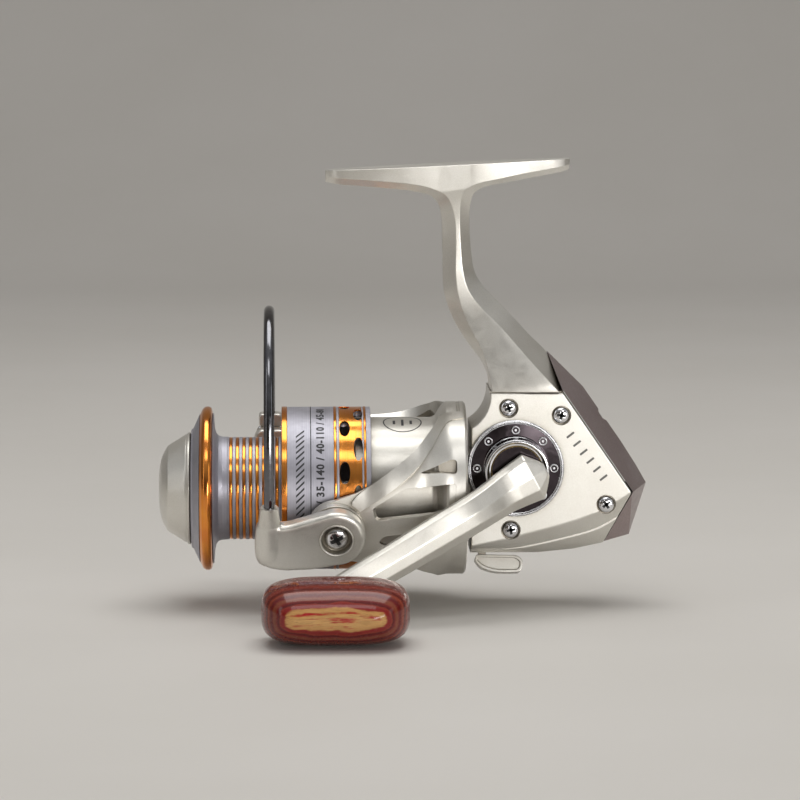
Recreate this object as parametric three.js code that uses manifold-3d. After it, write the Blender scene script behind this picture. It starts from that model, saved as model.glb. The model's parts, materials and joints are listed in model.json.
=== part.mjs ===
// Spinning reel for a fishing rod, in millimetres, +Z up.
// The reel is drawn about its main shaft: X runs along the shaft with the spool towards -X,
// Z = 0 on the shaft, and the crank axis is parallel to Y through X = 0.
// The outer group then moves it so that the origin is the centre of the foot's top face.

import * as THREE from "three";
import { ConvexGeometry } from "three/addons/geometries/ConvexGeometry.js";
import { LoftGeometry } from "three/addons/geometries/LoftGeometry.js";
import { mergeVertices } from "three/addons/utils/BufferGeometryUtils.js";
import Module from "manifold-3d";

const wasm = await Module();
wasm.setup();

// ---- driving dimensions ----
const FIT = 0.1; // running and seating clearance
const GAP = 0.3; // gap between castings that meet face to face

const CRANK_Z = 7.2; // height of the crank axis above the main shaft
const HALF_BODY = 13; // half thickness of the body
const COVER_SEAM_Y = -9.8; // parting plane between side cover and housing
const STEM_SEAM_Z = 28.8; // top edge of the side cover
const BODY_FRONT = -12.6;

const FOOT_LENGTH = 70;
const FOOT_WIDTH = 16;
const FOOT_TILT = THREE.MathUtils.degToRad(2.7); // foot rises towards the rear
const FOOT_CENTRE = [-18.95, 92.95]; // X, Z of the centre of the foot's top face

const SHAFT_R = 2;
const SKIRT_R = 23.4;
const ARBOR_R = 14.7;
const CUP_R = 20.3;
const FLANGE_R = 24.8;
const ARM_INNER_R = 25.2;
const ARM_OUTER_R = 29.2;
const RIB_R = 31;
const ROTOR_PHASE = THREE.MathUtils.degToRad(17); // rotor turned from level about the shaft

const PIVOT_X = -51.1; // bail pivots
const BAIL_X = -69.9; // plane of the bail wire
const BAIL_HEIGHT = 53;
const BAIL_HALF_WIDTH = 35.5;
const WIRE_R = 1.5;
const LEVER_INNER_Y = 30.2;
const LEVER_OUTER_Y = 36;
const ROLLER_X = -70.2;

const ARM_TILT = THREE.MathUtils.degToRad(28.5); // handle arm below the level at rest
const CRANK_RADIUS = 60.7;
const ARM_DROP = -3.1; // handle arm's centre line below the crank axis, across the arm
const KNOB_SIZE = [40.4, 17.9]; // length and height
const KNOB_NEAR = -84;
const KNOB_FAR = -56;

const GEAR_TEETH = 36; // drive gear and pinion
const PINION_TEETH = 7;
const OSC_PINION_TEETH = 10; // spur pair that works the oscillation
const OSC_GEAR_TEETH = 25;
const MODULE = 0.7;
const OSC_GEAR_DROP = 11.2; // oscillation gear axis below the crank axis

// ---- solids ----
const V2 = (x, y) => new THREE.Vector2(x, y);
const V3 = (x, y, z) => new THREE.Vector3(x, y, z);

// A closed geometry as a solid, turned to face outwards.
function solid(geometry) {
  const bare = geometry.index ? geometry : mergeVertices(geometry);
  bare.deleteAttribute("normal");
  bare.deleteAttribute("uv");
  const merged = mergeVertices(bare, 1e-4);
  const triVerts = new Uint32Array(merged.index.array);
  const build = () =>
    new wasm.Manifold(
      new wasm.Mesh({ numProp: 3, vertProperties: merged.attributes.position.array, triVerts }),
    );
  const made = build();
  if (made.volume() > 0) return made;
  for (let i = 0; i < triVerts.length; i += 3) {
    [triVerts[i + 1], triVerts[i + 2]] = [triVerts[i + 2], triVerts[i + 1]];
  }
  return build();
}

const join = (...solids) => solids.reduce((all, next) => all.add(next));
const cut = (body, ...tools) => tools.reduce((rest, tool) => rest.subtract(tool), body);
const largest = (body) => body.decompose().sort((a, b) => b.volume() - a.volume())[0];

// A ring or disc turned about X. Points are [x, radius]; a profile off the axis is closed.
function turnedX(points, segments = 30) {
  const profile = points.map(([x, r]) => V2(r, x));
  const onAxis = points[0][1] === 0 && points.at(-1)[1] === 0;
  if (!onAxis) profile.push(profile[0].clone());
  return solid(new THREE.LatheGeometry(profile, segments).rotateZ(-Math.PI / 2));
}

// The same about Y, through (x, z). Points are [y, radius].
function turnedY(points, x = 0, z = 0, segments = 24) {
  const profile = points.map(([y, r]) => V2(r, y));
  const onAxis = points[0][1] === 0 && points.at(-1)[1] === 0;
  if (!onAxis) profile.push(profile[0].clone());
  return solid(new THREE.LatheGeometry(profile, segments).translate(x, 0, z));
}

const rodX = (x0, x1, r, y = 0, z = 0, segments = 12) =>
  turnedX([[x0, 0], [x0, r], [x1, r], [x1, 0]], segments).translate([0, y, z]);
const rodY = (y0, y1, r, x = 0, z = 0, segments = 12) =>
  turnedY([[y0, 0], [y0, r], [y1, r], [y1, 0]], x, z, segments);
const ringX = (x0, x1, r0, r1, segments = 18) =>
  turnedX([[x0, r0], [x0, r1], [x1, r1], [x1, r0]], segments);
const ringY = (y0, y1, r0, r1, x = 0, z = 0, segments = 16) =>
  turnedY([[y0, r0], [y0, r1], [y1, r1], [y1, r0]], x, z, segments);

function box(x0, x1, y0, y1, z0, z1) {
  const shape = new THREE.BoxGeometry(x1 - x0, y1 - y0, z1 - z0);
  return solid(shape.translate((x0 + x1) / 2, (y0 + y1) / 2, (z0 + z1) / 2));
}

const hull = (points) => solid(new ConvexGeometry(points.map((p) => V3(...p))));

// A closed skin through cross sections, each wound the same way as its neighbours.
function loft(sections) {
  const centre = (ring) => ring.reduce((sum, p) => sum.add(p), V3(0, 0, 0)).divideScalar(ring.length);
  const [start, next] = [centre(sections[0]), centre(sections[1])];
  const normal = V3(0, 0, 0);
  sections[1].forEach((p, i, ring) => {
    const q = ring[(i + 1) % ring.length];
    normal.add(p.clone().sub(next).cross(q.clone().sub(next)));
  });
  const forwards = normal.dot(next.clone().sub(start)) > 0;
  const rings = forwards ? sections : sections.map((ring) => [...ring].reverse());
  const skin = new LoftGeometry(rings, { capStart: true, capEnd: true });
  return solid(new THREE.BufferGeometry().copy(skin));
}

// A toothed outline. Tooth widths are shares of the pitch.
function gearShape(teeth, rootR, tipR, boreR, phase = 0) {
  const shape = new THREE.Shape();
  const pitch = (2 * Math.PI) / teeth;
  for (let i = 0; i < teeth; i++) {
    const corners = [[-0.25, rootR], [-0.11, tipR], [0.11, tipR], [0.25, rootR]];
    for (const [share, r] of corners) {
      const a = phase + (i + share) * pitch;
      const move = i === 0 && share === -0.25 ? "moveTo" : "lineTo";
      shape[move](r * Math.cos(a), r * Math.sin(a));
    }
  }
  shape.closePath();
  if (boreR) shape.holes.push(new THREE.Path().absarc(0, 0, boreR, 0, 2 * Math.PI, true));
  return shape;
}

// A gear about Y through (x, z). Angles run from +X towards +Z.
function gearY(shape, y0, y1, x, z) {
  const options = { depth: y1 - y0, bevelEnabled: false, curveSegments: 6 };
  const gear = new THREE.ExtrudeGeometry(shape, options);
  return solid(gear.rotateX(Math.PI / 2).translate(x, y1, z));
}

function gearX(shape, x0, x1) {
  const options = { depth: x1 - x0, bevelEnabled: false, curveSegments: 8 };
  const gear = new THREE.ExtrudeGeometry(shape, options);
  return solid(gear.rotateY(Math.PI / 2).translate(x0, 0, 0));
}

const hexNutX = (x0, x1, r, boreR) =>
  cut(rodX(x0, x1, r, 0, 0, 6), rodX(x0 - 1, x1 + 1, boreR, 0, 0, 20));

// A round bar along a curve.
function wire(curve, r, sides, steps) {
  const section = new THREE.Shape().absarc(0, 0, r, 0, 2 * Math.PI, false);
  const options = { steps, extrudePath: curve, curveSegments: sides / 2 };
  return solid(new THREE.ExtrudeGeometry(section, options));
}

// A coil spring about Y through (x, z).
function coilY(x, z, r, wireR, y0, y1, turns) {
  const points = [];
  for (let i = 0; i <= turns * 10; i++) {
    const a = (i / 10) * 2 * Math.PI;
    const y = y0 + ((y1 - y0) * i) / (turns * 10);
    points.push(V3(x + r * Math.cos(a), y, z + r * Math.sin(a)));
  }
  return wire(new THREE.CatmullRomCurve3(points), wireR, 6, turns * 10);
}

// A cross-head screw about Y: head face at y0, under the head at y1, tip at y2.
function screwY(x, z, headR, y0, y1, shankR, y2) {
  const s = Math.sign(y1 - y0);
  const dome = 0.35 * s;
  const profile = [[y0, 0], [y0, headR * 0.7], [y0 + dome, headR], [y1, headR], [y1, shankR]];
  const body = turnedY([...profile, [y2, shankR], [y2, 0]], x, z, 10);
  const w = headR * 0.17;
  const l = headR * 0.6;
  const [ya, yb] = [y0 - s, y0 + s * Math.abs(y1 - y0) * 0.55].sort((a, b) => a - b);
  return cut(body, box(x - l, x + l, ya, yb, z - w, z + w), box(x - w, x + w, ya, yb, z - l, z + l));
}

// ---- scene ----
const metal = (color, roughness, metalness) =>
  new THREE.MeshStandardMaterial({ color, roughness, metalness });
const LOOKS = {
  champagne: metal(0xcac4b6, 0.38, 0.75),
  mauve: metal(0x7d6c6c, 0.4, 0.6),
  grey: metal(0xa5a5ac, 0.35, 0.85),
  gold: metal(0xf0a01e, 0.25, 1),
  chrome: metal(0xe6e6e8, 0.1, 1),
  blackChrome: metal(0x2b2627, 0.18, 0.9),
  steel: metal(0xb6b8bb, 0.35, 0.9),
  brass: metal(0xc09a48, 0.4, 0.9),
  plastic: metal(0x26272a, 0.6, 0),
  felt: metal(0x6e5a3c, 0.95, 0),
  wood: metal(0x9c4a2c, 0.25, 0),
};

const reel = new THREE.Group();

function addTo(group, name, body, look) {
  const made = body.getMesh();
  const geometry = new THREE.BufferGeometry();
  geometry.setAttribute("position", new THREE.BufferAttribute(made.vertProperties, 3));
  geometry.setIndex(new THREE.BufferAttribute(made.triVerts, 1));
  geometry.computeVertexNormals();
  const mesh = new THREE.Mesh(geometry, LOOKS[look]);
  mesh.name = name;
  group.add(mesh);
}

// ---- body: outlines seen from the side, as [x, z] ----
const FACE = [[-6.6, 29], [13.4, 28.8], [33.2, 0], [22.5, -6], [11.5, -9.6], [0.9, -12.3],
  [BODY_FRONT, -15.3], [BODY_FRONT, 17.5]];
const KEEL = [[BODY_FRONT, -17.9], [7, -17.9], [25.5, -15.1]];
const KEEL_HALF = 7;
const CAVITY_FACE = [[-5.6, 26.4], [12, 26.4], [30, 0.4], [21.8, -4], [11, -7.6], [0.5, -10.2],
  [-10.4, -12.9], [-10.4, 16.5]];
const CAVITY_KEEL = [[-10.4, -15.8], [7, -15.8], [24, -13.2]];
const CAVITY_HALF = 10.9;

const bothSides = (points, y) => points.flatMap(([x, z]) => [[x, -y, z], [x, y, z]]);
const bodyBlock = hull([...bothSides(FACE, HALF_BODY), ...bothSides(KEEL, KEEL_HALF)]);
const cavity = hull([
  ...bothSides(CAVITY_FACE, CAVITY_HALF),
  ...bothSides(CAVITY_KEEL, KEEL_HALF - 0.9),
]);

// Stem sections, top to bottom: front ridge, front edge, rear edge, rear ridge, half width.
const STEM = [
  [[-24.5, 84.2], [-19.6, 84.6], [-14.3, 85], [-8.6, 85.2], 5.6],
  [[-21.4, 81.6], [-18.3, 81.4], [-15.1, 82], [-12.1, 82], 5.1],
  [[-20.4, 77], [-17, 77], [-15, 77], [-12.2, 77], 4.8],
  [[-20.1, 64], [-16.7, 64], [-14.6, 64], [-11.7, 64.5], 4.8],
  [[-19.7, 56], [-16.4, 55.5], [-12.9, 57], [-9.6, 58.3], 5.3],
  [[-18.3, 51.5], [-15.6, 50.5], [-10.5, 53], [-6.7, 54.7], 6],
  [[-14.2, 44.7], [-12.4, 43.5], [-3.5, 45.9], [0.4, 47.6], 7.8],
  [[-10, 38.2], [-9.3, 37.3], [3, 39.1], [6.5, 42], 9.8],
  [[-7.6, 33], [-7.2, 32.5], [9.2, 32.8], [10, 37.6], 11.8],
  [[-6.5, 28], [-6.6, 27.6], [13.4, 27.6], [13.6, 28.2], HALF_BODY],
];
const RIDGE_HALF = 1.2;
const stem = loft(
  STEM.map(([frontRidge, frontEdge, rearEdge, rearRidge, half]) => [
    V3(frontRidge[0], -RIDGE_HALF, frontRidge[1]),
    V3(frontEdge[0], -half, frontEdge[1]),
    V3(rearEdge[0], -half, rearEdge[1]),
    V3(rearRidge[0], -RIDGE_HALF, rearRidge[1]),
    V3(rearRidge[0], RIDGE_HALF, rearRidge[1]),
    V3(rearEdge[0], half, rearEdge[1]),
    V3(frontEdge[0], half, frontEdge[1]),
    V3(frontRidge[0], RIDGE_HALF, frontRidge[1]),
  ]),
);

// The foot, drawn level about the centre of its top face and then tilted.
// Each station: distance along the foot, half width, thickness.
const FOOT = [
  [-35, 1.6, 3.2], [-34.2, 3.2, 3.6], [-32, 4.4, 3.9], [-27, 5.6, 4.2], [-18, 7.1, 4.9],
  [-9, 7.9, 6], [-4, 8, 8.6], [0, 8, 10.2], [5, 8, 8.6], [10, 7.9, 6.4], [18, 7.1, 5],
  [27, 5.6, 4], [32, 4.4, 3.4], [34.2, 3.2, 3], [35, 1.6, 2.6],
].map(([x, half, thick]) => [(x * FOOT_LENGTH) / 70, (half * FOOT_WIDTH) / 16, thick]);
const foot = loft(
  FOOT.map(([x, half, thick]) => {
    const side = 1.4;
    const under = Math.max(half - 2, 0.6);
    return [
      V3(x, -half, 0),
      V3(x, half, 0),
      V3(x, half, -side),
      V3(x, under, -thick),
      V3(x, -under, -thick),
      V3(x, -half, -side),
    ];
  }),
)
  .rotate([0, THREE.MathUtils.radToDeg(-FOOT_TILT), 0])
  .translate([FOOT_CENTRE[0], 0, FOOT_CENTRE[1]]);

// The guard screw stands square to the guard's slope.
const GUARD_SCREW_AT = [24.1, 0, 20];
const GUARD_SLOPE = -34;
const tiltGuardScrew = (body) => body.rotate([0, GUARD_SLOPE, 0]).translate(GUARD_SCREW_AT);

// Where the bearings and the anti-reverse lever sit.
const NECK_R = 12;
const NECK_FRONT = -20;
const BEARING_SEAT_R = 8;
const CLUTCH_R = 10.2;
const BALL_R = 5.4; // outer radius of the drive gear's bearings
// Cover screws: x, z, and where the post and the screw end, measured along Y.
const COVER_SCREWS = [
  [-2, 24.3, 11.4, -2],
  [13, 22.2, 11.4, -2],
  [25.9, -3.4, 11.4, -2],
  [-1.3, -10.6, -6.3, -6.8],
];
const SCREW_SEAT_R = 2.7;

const coverSpace = box(BODY_FRONT - GAP, 60, -60, COVER_SEAM_Y, -60, STEM_SEAM_Z);
const coverBox = box(-60, 60, -60, COVER_SEAM_Y - GAP, -60, STEM_SEAM_Z - GAP);
const neck = rodX(NECK_FRONT, -11, NECK_R, 0, 0, 30);
const bodyShell = join(cut(join(bodyBlock, stem, neck), coverSpace), foot);
const farBoss = rodY(6.9, 11.5, 7.2, 0, CRANK_Z, 18);
const RAILS = [[0, -9.4], [5.6, -9.4]]; // Y, Z of the guide rails
const railRib = box(23.6, 25.6, -9, 11.4, -14, 7);
const coverPosts = COVER_SCREWS.map(([x, z, postEnd]) => rodY(COVER_SEAM_Y, postEnd, 2.6, x, z, 12));
const lug = box(-3.9, 1.3, COVER_SEAM_Y, -6.3, -15, -10.6);

const housing = cut(
  join(
    cut(bodyShell, cavity),
    farBoss,
    ...[railRib, lug, ...coverPosts].map((piece) => piece.intersect(bodyBlock)),
  ),
  rodX(-30, -9, 6.6, 0, 0, 24),
  rodX(-30, -14.6, CLUTCH_R, 0, 0, 32),
  rodX(-14.7, -9, BEARING_SEAT_R + FIT, 0, 0, 28),
  rodY(6, 10.4, BALL_R + FIT, 0, CRANK_Z, 16),
  rodY(6, 20, 3.6, 0, CRANK_Z, 18),
  ...RAILS.map(([y, z]) => rodX(-11.6, 27, 1.35, y, z, 10)),
  rodX(-9, 40, SHAFT_R + 0.6, 0, 0, 16).intersect(box(20, 26.5, -5, 5, -5, 5)),
  box(-10.5, -7.5, -4.6, 4.6, -20, -12),
  ...COVER_SCREWS.map(([x, z, , tip]) => rodY(-12, tip + 1, 1.15, x, z, 8)),
  tiltGuardScrew(rodX(-9, 1, 1.15, 0, 0, 8)),
);
addTo(reel, "body_housing", largest(housing), "champagne");

const coverBoss = rodY(COVER_SEAM_Y - GAP, -8.6, 7, 0, CRANK_Z, 18);
const cover = cut(
  join(cut(bodyBlock.intersect(coverBox), cavity), coverBoss),
  rodY(-12.2, -8, BALL_R + FIT, 0, CRANK_Z, 16),
  rodY(-14, -8, 3.6, 0, CRANK_Z, 18),
  ...COVER_SCREWS.flatMap(([x, z]) => [
    rodY(-14, -12, SCREW_SEAT_R, x, z, 16),
    rodY(-14, -8, 1.3, x, z, 10),
  ]),
);
addTo(reel, "side_cover", largest(cover), "champagne");

COVER_SCREWS.forEach(([x, z, , tip], i) => {
  addTo(reel, `cover_screw_${i + 1}`, screwY(x, z, 2.4, -13.3, -12.05, 1, tip), "chrome");
});

// Rear guard: a wedge shell behind the housing, with a ridge down its middle.
const GUARD_EDGE = [[13.6, 28.8], [33.3, 0]];
const GUARD_RIDGE = [[10.1, 38.9], [12, 36.7], [20, 29.1], [30.7, 13.7], [35.3, 6.5],
  [38.2, 1.4], [33.4, -13.6], [25.7, -15.1]];
const guardBlock = hull([
  ...bothSides(GUARD_EDGE, HALF_BODY - 0.1),
  ...bothSides(GUARD_RIDGE, 0.9),
  [25.8, -5.5, -15], [25.8, 5.5, -15],
]);
const bodyOutside = join(bodyBlock, stem);
const guardHollow = guardBlock.scale([0.93, 0.82, 0.9]).translate([0.6, 0, 0.8]);
const guard = cut(
  guardBlock,
  bodyOutside,
  bodyOutside.translate([GAP, 0, 0]),
  guardHollow.intersect(box(12, 34.5, -11, 11, -12, 31)),
);
const guardScrew = turnedX(
  [[1.6, 0], [1.6, 1], [1.2, 2.2], [0, 2.2], [0, 1], [-7.5, 1], [-7.5, 0]],
  16,
);
const guardHole = tiltGuardScrew(join(rodX(-20, 1, 1.3, 0, 0, 10), rodX(-0.2, 6, 2.5, 0, 0, 14)));
addTo(reel, "rear_guard", largest(cut(guard, guardHole)), "mauve");

// ---- bezel round the crank axis ----
const BEZEL_BACK = -HALF_BODY - FIT;
const BEZEL_DOTS = 6;
const dotRing = [];
for (let i = 0; i < BEZEL_DOTS; i++) {
  const a = (i - 1) * (Math.PI / 4);
  dotRing.push(ringY(-14.2, -13.7, 0.75, 1.25, 10.9 * Math.cos(a), CRANK_Z + 10.9 * Math.sin(a), 6));
}
addTo(reel, "bezel_ring", ringY(-14.4, BEZEL_BACK, 12.9, 13.8, 0, CRANK_Z, 30), "chrome");
addTo(
  reel,
  "bezel_disc",
  join(ringY(-13.8, BEZEL_BACK, 4.2, 12.8, 0, CRANK_Z, 30), ...dotRing),
  "blackChrome",
);

// ---- bearings, clutch and rails held by the body ----
addTo(reel, "drive_bearing_near", ringY(-12.1, -9.1, 3.1, BALL_R, 0, CRANK_Z), "steel");
addTo(reel, "drive_bearing_far", ringY(7.3, 10.3, 3.1, BALL_R, 0, CRANK_Z), "steel");
addTo(reel, "pinion_bearing", ringX(-14.5, -10.5, 3.9, BEARING_SEAT_R), "steel");
addTo(reel, "clutch_housing", ringX(-19.9, -14.7, 6.3, CLUTCH_R - FIT), "steel");
addTo(reel, "clutch_retainer", ringX(-21.1, -20.1, 6.5, 11.6), "steel");
["guide_rail_middle", "guide_rail_side"].forEach((name, i) => {
  addTo(reel, name, rodX(-11.5, 26.2, 1.2, ...RAILS[i], 12), "steel");
});
addTo(
  reel,
  "far_bearing_cap",
  turnedY([[13.1, 0], [13.1, 7.4], [14.2, 7.4], [14.9, 6.4], [14.9, 0]], 0, CRANK_Z, 32),
  "champagne",
);

// ---- anti-reverse lever: hangs through the slot under the body ----
const lever = new THREE.Group();
const AR_PIVOT_Z = -13.7;
const AR_HALF_SWING = 14;
const leverNeck = box(-10.1, -7.9, -1.5, 1.5, -7.5, 0);
const paddle = solid(
  new THREE.ExtrudeGeometry(
    new THREE.Shape()
      .moveTo(-10.6, -6)
      .lineTo(0.6, -6.2)
      .absarc(0.2, -8.8, 2.6, Math.PI / 2, -Math.PI / 2, true)
      .lineTo(-6, -11.2)
      .quadraticCurveTo(-11.4, -11.2, -11.4, -7),
    { depth: 5.6, bevelEnabled: false, curveSegments: 6 },
  ).rotateX(Math.PI / 2).translate(0, 2.8, 0),
);
addTo(lever, "anti_reverse_lever", join(leverNeck, paddle, rodX(-10.1, -4, 1.5, 0, 0, 14)), "champagne");
lever.position.set(0, 0, AR_PIVOT_Z);
lever.rotation.x = THREE.MathUtils.degToRad(-AR_HALF_SWING);
reel.add(lever);

// ---- crank: drive gear, hub, handle arm and knob ----
const crank = new THREE.Group();
const OSC_CENTRE_DISTANCE = ((OSC_PINION_TEETH + OSC_GEAR_TEETH) * MODULE) / 2 + 0.1;
const OSC_X = Math.sqrt(OSC_CENTRE_DISTANCE ** 2 - OSC_GEAR_DROP ** 2);
const OSC_Z = CRANK_Z - OSC_GEAR_DROP;
const meshAngle = Math.atan2(OSC_Z - CRANK_Z, OSC_X);
const pitchR = (teeth) => (teeth * MODULE) / 2;
const [OSC_Y0, OSC_Y1] = [-6, -3.8];
const oscPinion = gearShape(OSC_PINION_TEETH, pitchR(OSC_PINION_TEETH) - 0.75,
  pitchR(OSC_PINION_TEETH) + 0.35, 0, meshAngle);
const DRIVE_GEAR_R = 10.2;
const crown = gearShape(GEAR_TEETH, DRIVE_GEAR_R - 1.9, DRIVE_GEAR_R - 0.2, 0);
addTo(
  crank,
  "drive_gear",
  join(
    rodY(-21.9, 10.3, 3, 0, 0, 20),
    rodY(5.1, 6.8, DRIVE_GEAR_R, 0, 0, 30),
    gearY(crown, 4.4, 5.3, 0, 0),
    gearY(oscPinion, OSC_Y0, OSC_Y1, 0, 0),
  ),
  "brass",
);
addTo(
  crank,
  "handle_hub",
  turnedY([[-14.5, 3.1], [-14.5, 8.9], [-15, 9.2], [-21.2, 9.2], [-21.7, 8.7], [-21.7, 7.8],
    [-20.4, 7], [-20.4, 3.1]], 0, 0, 40),
  "chrome",
);

// Handle arm sections: distance along the arm, half width, back face, thickness.
const ARM = [
  [7.6, 1.8, -22.4, 2.6], [3.4, 7.2, -22.1, 5.2], [-5.5, 5.9, -23.4, 5.6],
  [-14, 5.4, -30.2, 5.6], [-26, 5.3, -33, 5.5], [-42, 5, -38.4, 5.4], [-57, 4.8, -42.6, 5.2],
  [-63.5, 4.4, -44, 4.8], [-65.4, 2.6, -44.3, 3.4],
];
const armSection = ([u, half, back, thick]) => {
  const near = back - thick;
  const at = (share, y) => V3(u, y, ARM_DROP + half * share);
  return [
    at(1, back),
    at(1, back - thick * 0.55),
    at(0.78, near + thick * 0.08),
    at(0.05, near),
    at(-0.55, near + thick * 0.1),
    at(-1, back - thick * 0.3),
    at(-1, back),
  ];
};
const armBody = join(
  loft(ARM.map(armSection)),
  rodY(-50.2, -44, 4.4, -CRANK_RADIUS, ARM_DROP, 20),
);
addTo(
  crank,
  "handle_arm",
  cut(armBody, rodY(-60, -42, 2.5, -CRANK_RADIUS, ARM_DROP, 16)),
  "champagne",
);
addTo(crank, "knob_shaft", rodY(-79, -42.1, 2.3, -CRANK_RADIUS, ARM_DROP, 16), "steel");
crank.position.set(0, 0, CRANK_Z);
crank.rotation.y = -ARM_TILT;
reel.add(crank);

// The knob turns on its shaft; its length lies level at rest.
const knob = new THREE.Group();
const knobAxis = V3(-CRANK_RADIUS, 0, ARM_DROP).applyAxisAngle(V3(0, 1, 0), -ARM_TILT);
const KNOB = [[0, 0.7], [0.03, 0.8], [0.12, 0.93], [0.28, 1], [0.55, 1], [0.74, 0.96],
  [0.87, 0.86], [0.95, 0.7], [0.99, 0.5], [1, 0.34]];
const knobSection = ([share, scale]) => {
  const points = [];
  const power = 2 / 2.9;
  for (let i = 0; i < 20; i++) {
    const a = (i / 20) * 2 * Math.PI;
    const c = Math.cos(a);
    const s = Math.sin(a);
    const x = Math.sign(c) * Math.abs(c) ** power * (KNOB_SIZE[0] / 2) * (1 - (1 - scale) * 0.62);
    const z = Math.sign(s) * Math.abs(s) ** power * (KNOB_SIZE[1] / 2) * scale;
    points.push(V3(x, KNOB_FAR + (KNOB_NEAR - KNOB_FAR) * share, z));
  }
  return points;
};
addTo(
  knob,
  "handle_knob",
  cut(loft(KNOB.map(knobSection)), rodY(-80, -50, 3.5, 0, 0, 18), rodY(-59, -50, 5.2, 0, 0, 18)),
  "wood",
);
addTo(knob, "knob_bush", ringY(-58.9, -56.3, 2.4, 5.1, 0, 0, 18), "plastic");
knob.position.set(knobAxis.x, 0, CRANK_Z + knobAxis.z);
reel.add(knob);

// ---- oscillation gear ----
const oscillation = new THREE.Group();
const OSC_PIN_R = 6.4;
const SLIDE_BACK = 10.8; // main shaft travel behind and ahead of rest
const SLIDE_FRONT = 2;
const gearPhase = meshAngle + Math.PI + Math.PI / OSC_GEAR_TEETH;
const oscGear = gearShape(OSC_GEAR_TEETH, pitchR(OSC_GEAR_TEETH) - 0.75,
  pitchR(OSC_GEAR_TEETH) + 0.35, 0, gearPhase);
const pinAngle = Math.acos((SLIDE_BACK - SLIDE_FRONT) / (SLIDE_BACK + SLIDE_FRONT));
addTo(
  oscillation,
  "oscillation_gear",
  join(
    gearY(oscGear, OSC_Y0 + 0.15, OSC_Y1 - 0.15, 0, 0),
    rodY(OSC_Y1 - 0.4, -3, 1, -OSC_PIN_R * Math.cos(pinAngle), -OSC_PIN_R * Math.sin(pinAngle), 12),
    rodY(-9.4, OSC_Y0 + 0.3, 1.8, 0, 0, 14),
  ),
  "brass",
);
oscillation.position.set(OSC_X, 0, OSC_Z);
reel.add(oscillation);

// ---- main shaft with its slider ----
const SLIDER_X = OSC_X - (SLIDE_BACK - SLIDE_FRONT) / 2;
addTo(reel, "main_shaft", rodX(-99.2, SLIDER_X + 4, SHAFT_R, 0, 0, 20), "steel");
addTo(
  reel,
  "oscillation_slider",
  cut(
    box(SLIDER_X - 2.3, SLIDER_X + 2.3, -2.9, 7.4, -11.8, 3.7),
    rodX(SLIDER_X - 5, SLIDER_X + 5, SHAFT_R + FIT, 0, 0, 20),
    ...RAILS.map(([y, z]) => rodX(SLIDER_X - 5, SLIDER_X + 5, 1.35, y, z, 10)),
    box(SLIDER_X - 1.15, SLIDER_X + 1.15, -6, -2.4, -11.2, 3),
    box(SLIDER_X - 3, SLIDER_X + 3, 3.4, 8, -6.6, 4),
    rodY(2.1, 5, 1.1, SLIDER_X, 0, 10),
  ),
  "steel",
);
addTo(reel, "slider_screw", screwY(SLIDER_X, 0, 1.6, 4.4, 3.5, 1, 2.15), "steel");
addTo(reel, "click_gear", gearX(gearShape(18, 5.9, 6.7, SHAFT_R + FIT), -58.6, -57.2), "plastic");

// ---- spool, its drag and the drag knob ----
// The front flange, the arbor with its hub and the skirt are turned separately and pressed together.
const FLANGE_BACK = -83.7;
const SKIRT_FRONT = -66.5;
const flangeProfile = [
  [-92.3, 13.4], [-92.3, 17.1], [-89.9, 21.4], [-89.9, 20.5], [-86.1, 20.5], [-86.1, 21.5],
  [-85.3, 21.2], [-84.5, 18], [FLANGE_BACK, 15], [FLANGE_BACK, 13.4],
];
const arborProfile = [
  [FLANGE_BACK + FIT, 13.4], [FLANGE_BACK + FIT, ARBOR_R], [SKIRT_FRONT - FIT, ARBOR_R],
  [SKIRT_FRONT - FIT, 12.6], [-76.4, 12.6], [-76.4, 7.2], [-60, 7.2], [-60, 5.1], [-78.2, 5.1],
  [-78.2, 13.4],
];
const skirtProfile = [
  [SKIRT_FRONT, 12.6], [SKIRT_FRONT, 15.8], [-66.2, SKIRT_R], [-41.1, SKIRT_R], [-41.1, 22],
  [-64.2, 22], [-64.2, 12.6],
];
const HOLES = 10;
const holeSolids = [];
for (let i = 0; i < HOLES; i++) {
  for (const [x, halfX, halfArc, shift] of [[-48.5, 1.45, 3.15, 0], [-44.5, 1.25, 3.75, 0.5]]) {
    const oval = new THREE.Shape().absellipse(0, 0, halfX, halfArc, 0, 2 * Math.PI, false, 0);
    const peg = new THREE.ExtrudeGeometry(oval, { depth: 4, bevelEnabled: false, curveSegments: 3 });
    peg.translate(x, 0, 21).rotateX(((i + shift) / HOLES) * 2 * Math.PI);
    holeSolids.push(solid(peg));
  }
}
addTo(reel, "spool", turnedX(arborProfile, 30), "grey");
addTo(reel, "spool_front_flange", turnedX(flangeProfile, 30), "grey");
addTo(reel, "spool_skirt", cut(turnedX(skirtProfile, 30), ...holeSolids), "grey");
addTo(
  reel,
  "spool_lip_ring",
  turnedX([[-89.8, 20.6], [-89.8, 21.6], [-88.9, 23], [-87.9, 23.5], [-86.9, 23], [-86.2, 21.6],
    [-86.2, 20.6]], 30),
  "gold",
);
addTo(reel, "spool_bearing", ringX(-64, -60.3, SHAFT_R + FIT, 5, 24), "steel");
addTo(reel, "drag_washer_felt_inner", ringX(-79.5, -78.4, 2.4, 13), "felt");
addTo(reel, "drag_washer_steel", ringX(-80.6, -79.7, 2.2, 12.8), "steel");
addTo(reel, "drag_washer_felt_outer", ringX(-82, -80.8, 2.4, 13), "felt");
addTo(reel, "drag_retaining_ring", ringX(-84.2, -83.4, 12.6, 13.2), "steel");
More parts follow.
